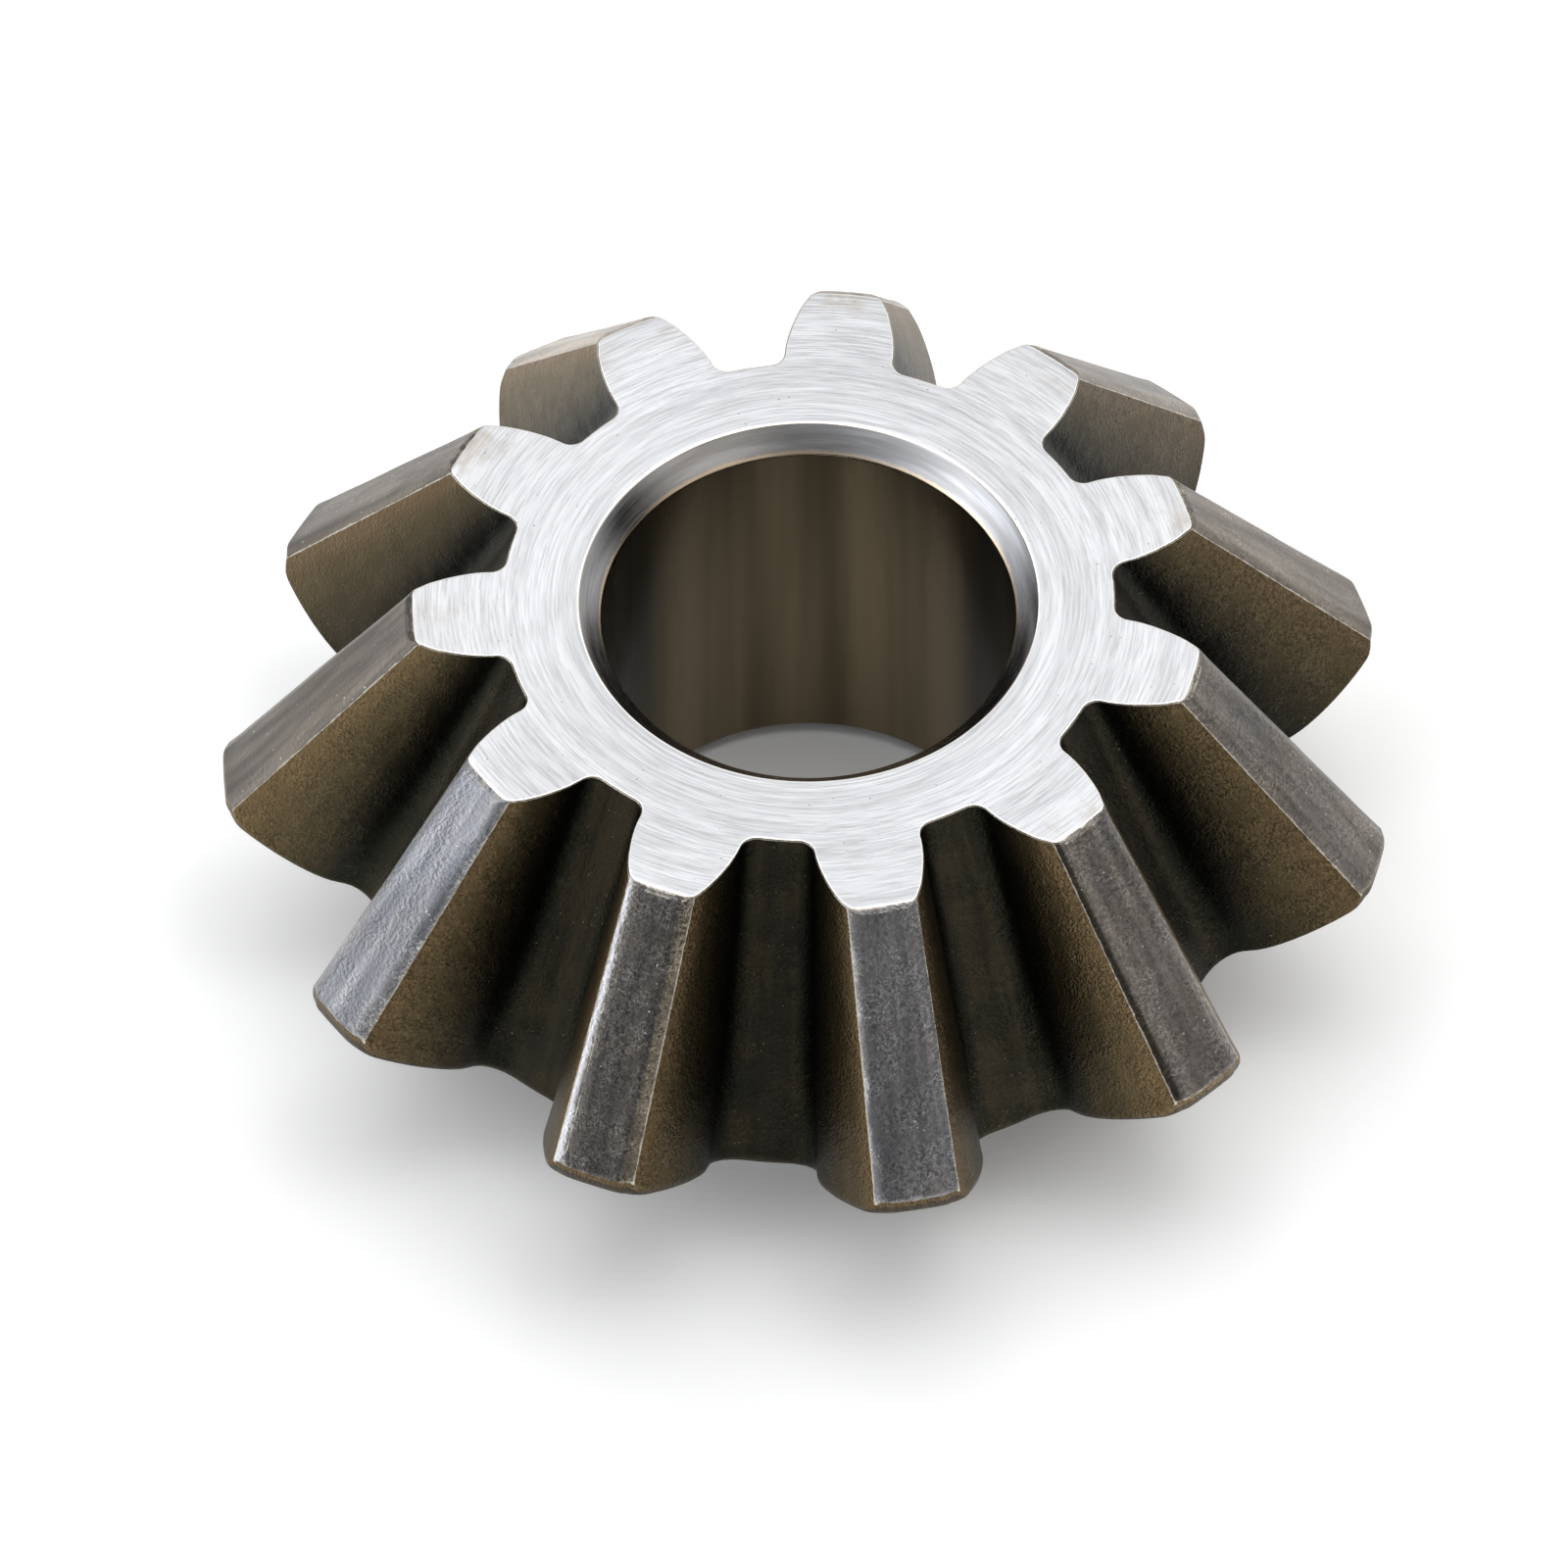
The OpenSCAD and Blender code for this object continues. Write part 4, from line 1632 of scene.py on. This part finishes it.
class Studio:
    """Camera, floor and the dome of soft light.

    The floor's glow is seen by the camera and in reflections only; it is nearly off under the
    gear, inside the first of two distances from the axis, and full beyond the second. The
    floor near and under the gear is so darker: a painted shadow.
    """

    PAINT = (0.93, 0.93, 0.93, 1.0)
    GLOW_FROM, GLOW_FULL = 20.0, 36.0
    GLOW_UNDER, GLOW = 0.03, 0.2
    TABLE_RINGS = (0.05, 0.1, 0.2, 0.5, 1.0, 3.0)
    TABLE_SPOKES = 64
    NIGHT, WHITE = (0.01, 0.01, 0.01), (1.0, 1.0, 1.0)  # the dome between its patches, and below
    HORIZON = 0.03

    def __init__(self, view: View, floor_height: float, front_height: float) -> None:
        """Takes the view and the two heights that it needs, in millimetres."""
        self.view, self.floor_height, self.front_height = view, floor_height, front_height

    def _direction(self, azimuth: float, elevation: float) -> Vector:
        """Unit vector to a place seen from the gear; azimuth 0 is the camera's right, 90 behind.

        Args:
            azimuth: degrees round from the camera's right.
            elevation: degrees over the horizon.

        Returns:
            The vector.
        """
        a = math.radians(azimuth + self.view.azimuth + 90.0)
        e = math.radians(elevation)
        return Vector((math.cos(a) * math.cos(e), math.sin(a) * math.cos(e), math.sin(e)))

    def camera(self) -> bpy.types.Object:
        """A parallel view, because the photograph's lens was very long.

        Returns:
            The camera.
        """
        v = self.view
        back = self._direction(-90.0, v.elevation)
        right = Vector((0, 0, 1)).cross(back).normalized()
        up = back.cross(right)
        roll = math.radians(v.roll)
        across = right * math.cos(roll) - up * math.sin(roll)
        upward = right * math.sin(roll) + up * math.cos(roll)
        data = bpy.data.cameras.new("photo_camera")
        data.type = "ORTHO"
        data.ortho_scale = v.width * MM
        data.clip_start, data.clip_end = 0.01, 10.0
        camera = bpy.data.objects.new("photo_camera", data)
        centre = Vector((0, 0, self.front_height)) + across * v.centre_right + upward * v.centre_up
        place = (centre + back * v.distance) * MM
        turn = Matrix((across, upward, back)).transposed().to_4x4()
        camera.matrix_world = Matrix.Translation(place) @ turn
        bpy.context.scene.collection.objects.link(camera)
        bpy.context.scene.camera = camera
        return camera

    def floor(self) -> bpy.types.Object:
        """A wide pale table top under the gear; from below it is clear, so the back can be seen.

        Returns:
            The floor.
        """
        angle = np.linspace(0, 2 * np.pi, self.TABLE_SPOKES, endpoint=False)
        ring, turn = np.meshgrid(np.array(self.TABLE_RINGS), angle, indexing="ij")
        height = np.full_like(ring, self.floor_height * MM)
        points = np.stack([ring * np.cos(turn), ring * np.sin(turn), height], axis=-1)
        mesh = bpy.data.meshes.new("table_top")
        index = np.arange(ring.size).reshape(ring.shape)
        after = np.roll(index, -1, axis=1)
        quads = np.stack([index[:-1], index[1:], after[1:], after[:-1]], axis=-1).reshape(-1, 4)
        hub = np.array([[0, 0, self.floor_height * MM]])
        fan = np.stack([np.full(self.TABLE_SPOKES, ring.size), index[0], after[0]], axis=-1)
        mesh.from_pydata(np.concatenate([points.reshape(-1, 3), hub]).tolist(), [], quads.tolist() + fan.tolist())
        mesh.shade_smooth()
        floor = bpy.data.objects.new("table_top", mesh)
        bpy.context.scene.collection.objects.link(floor)
        material = bpy.data.materials.new("white_table")
        material.use_nodes = True
        material.node_tree.nodes.clear()
        g = Graph(material.node_tree)
        paint = g.add("ShaderNodeBsdfDiffuse")
        paint.inputs["Color"].default_value = self.PAINT
        glow = g.add("ShaderNodeEmission")
        path = g.add("ShaderNodeLightPath")
        mirrored = g.math("MAXIMUM", path.outputs["Is Glossy Ray"], path.outputs["Is Transmission Ray"])
        seen = g.math("MAXIMUM", path.outputs["Is Camera Ray"], mirrored)
        # painted shadow: the glow fades near and under the gear, darkening the floor there
        level = g.spread(g.across(g.place()), self.GLOW_FROM, self.GLOW_FULL, self.GLOW_UNDER, self.GLOW)
        g.put(g.math("MULTIPLY", seen, level), glow.inputs["Strength"])
        both = g.add("ShaderNodeAddShader")
        g.put(paint.outputs[0], both.inputs[0])
        g.put(glow.outputs[0], both.inputs[1])
        clear = g.add("ShaderNodeBsdfTransparent")
        sides = g.add("ShaderNodeMixShader")
        g.put(g.add("ShaderNodeNewGeometry").outputs["Backfacing"], sides.inputs[0])
        g.put(both.outputs[0], sides.inputs[1])
        g.put(clear.outputs[0], sides.inputs[2])
        g.put(sides.outputs[0], g.add("ShaderNodeOutputMaterial").inputs["Surface"])
        mesh.materials.append(material)
        return floor

    def dome(self, patches: tuple[SoftLight, ...]) -> None:
        """Lights the world: the sum of soft patches, and plain white below the horizon.

        Args:
            patches: the soft patches.
        """
        world = bpy.data.worlds.new("studio_dome")
        world.use_nodes = True
        world.node_tree.nodes.clear()
        g = Graph(world.node_tree)
        toward = g.add("ShaderNodeTexCoord").outputs["Generated"]
        colour: Input = self.NIGHT
        for patch in patches:
            aim = self._direction(patch.azimuth, patch.elevation)
            cosine = g.vector("DOT_PRODUCT", toward, tuple(aim))
            share = g.spread(cosine, math.cos(math.radians(patch.reach)), 1.0)
            colour = g.vector("ADD", colour, g.scaled(tuple(c * patch.strength for c in patch.colour), share))
        split = g.add("ShaderNodeSeparateXYZ")
        g.put(toward, split.inputs[0])
        colour = g.mix(g.spread(split.outputs[2], self.HORIZON, -self.HORIZON), colour, self.WHITE)
        back = g.add("ShaderNodeBackground")
        g.put(colour, back.inputs["Color"])
        g.put(back.outputs[0], g.add("ShaderNodeOutputWorld").inputs["Surface"])
        bpy.context.scene.world = world


COOL, WARM = (0.97, 1.0, 1.05), (1.04, 1.0, 0.95)
PATCHES = (
    SoftLight(-172, 10, 28, 0.87, COOL),
    SoftLight(-155, 30, 28, 0.35, COOL),
    SoftLight(180, 18, 40, 0.92, COOL),
    SoftLight(-150, 50, 35, 0.87, COOL),
    SoftLight(125, 55, 20, 1.73),
    SoftLight(90, 18, 40, 0.93),
    SoftLight(90, 50, 35, 0.24),
    SoftLight(90, 66, 18, 1.22),
    SoftLight(90, 74, 24, 0.2),
    SoftLight(55, 55, 20, 0.65),
    SoftLight(45, 18, 40, 0.73),
    SoftLight(30, 50, 35, 0.61),
    SoftLight(-45, 18, 40, 0.41, WARM),
    SoftLight(-30, 50, 35, 0.36, WARM),
    SoftLight(-90, 50, 35, 0.26),
    SoftLight(180, 72, 20, 1.51),
    SoftLight(0, 72, 20, 2.58),
    SoftLight(0, 90, 30, 0.79),
)


def main() -> None:
    """Builds the gear, dresses it, sets up the studio and logs each piece."""
    logging.basicConfig(level=logging.INFO, format="%(name)s: %(message)s")
    bpy.context.scene.view_settings.view_transform = "Standard"
    gear = PlanetGear()
    piece = gear.build()
    gear.dress(piece, SharedEffects())
    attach(piece, "root")
    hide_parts(NODE)
    studio = Studio(View(), gear.blank.front_height - gear.blank.length, gear.blank.front_height)
    studio.camera()
    studio.floor()
    studio.dome(PATCHES)
    LOG.info("studio: camera, floor and a dome of %d soft patches", len(PATCHES))


if __name__ == "__main__":
    main()
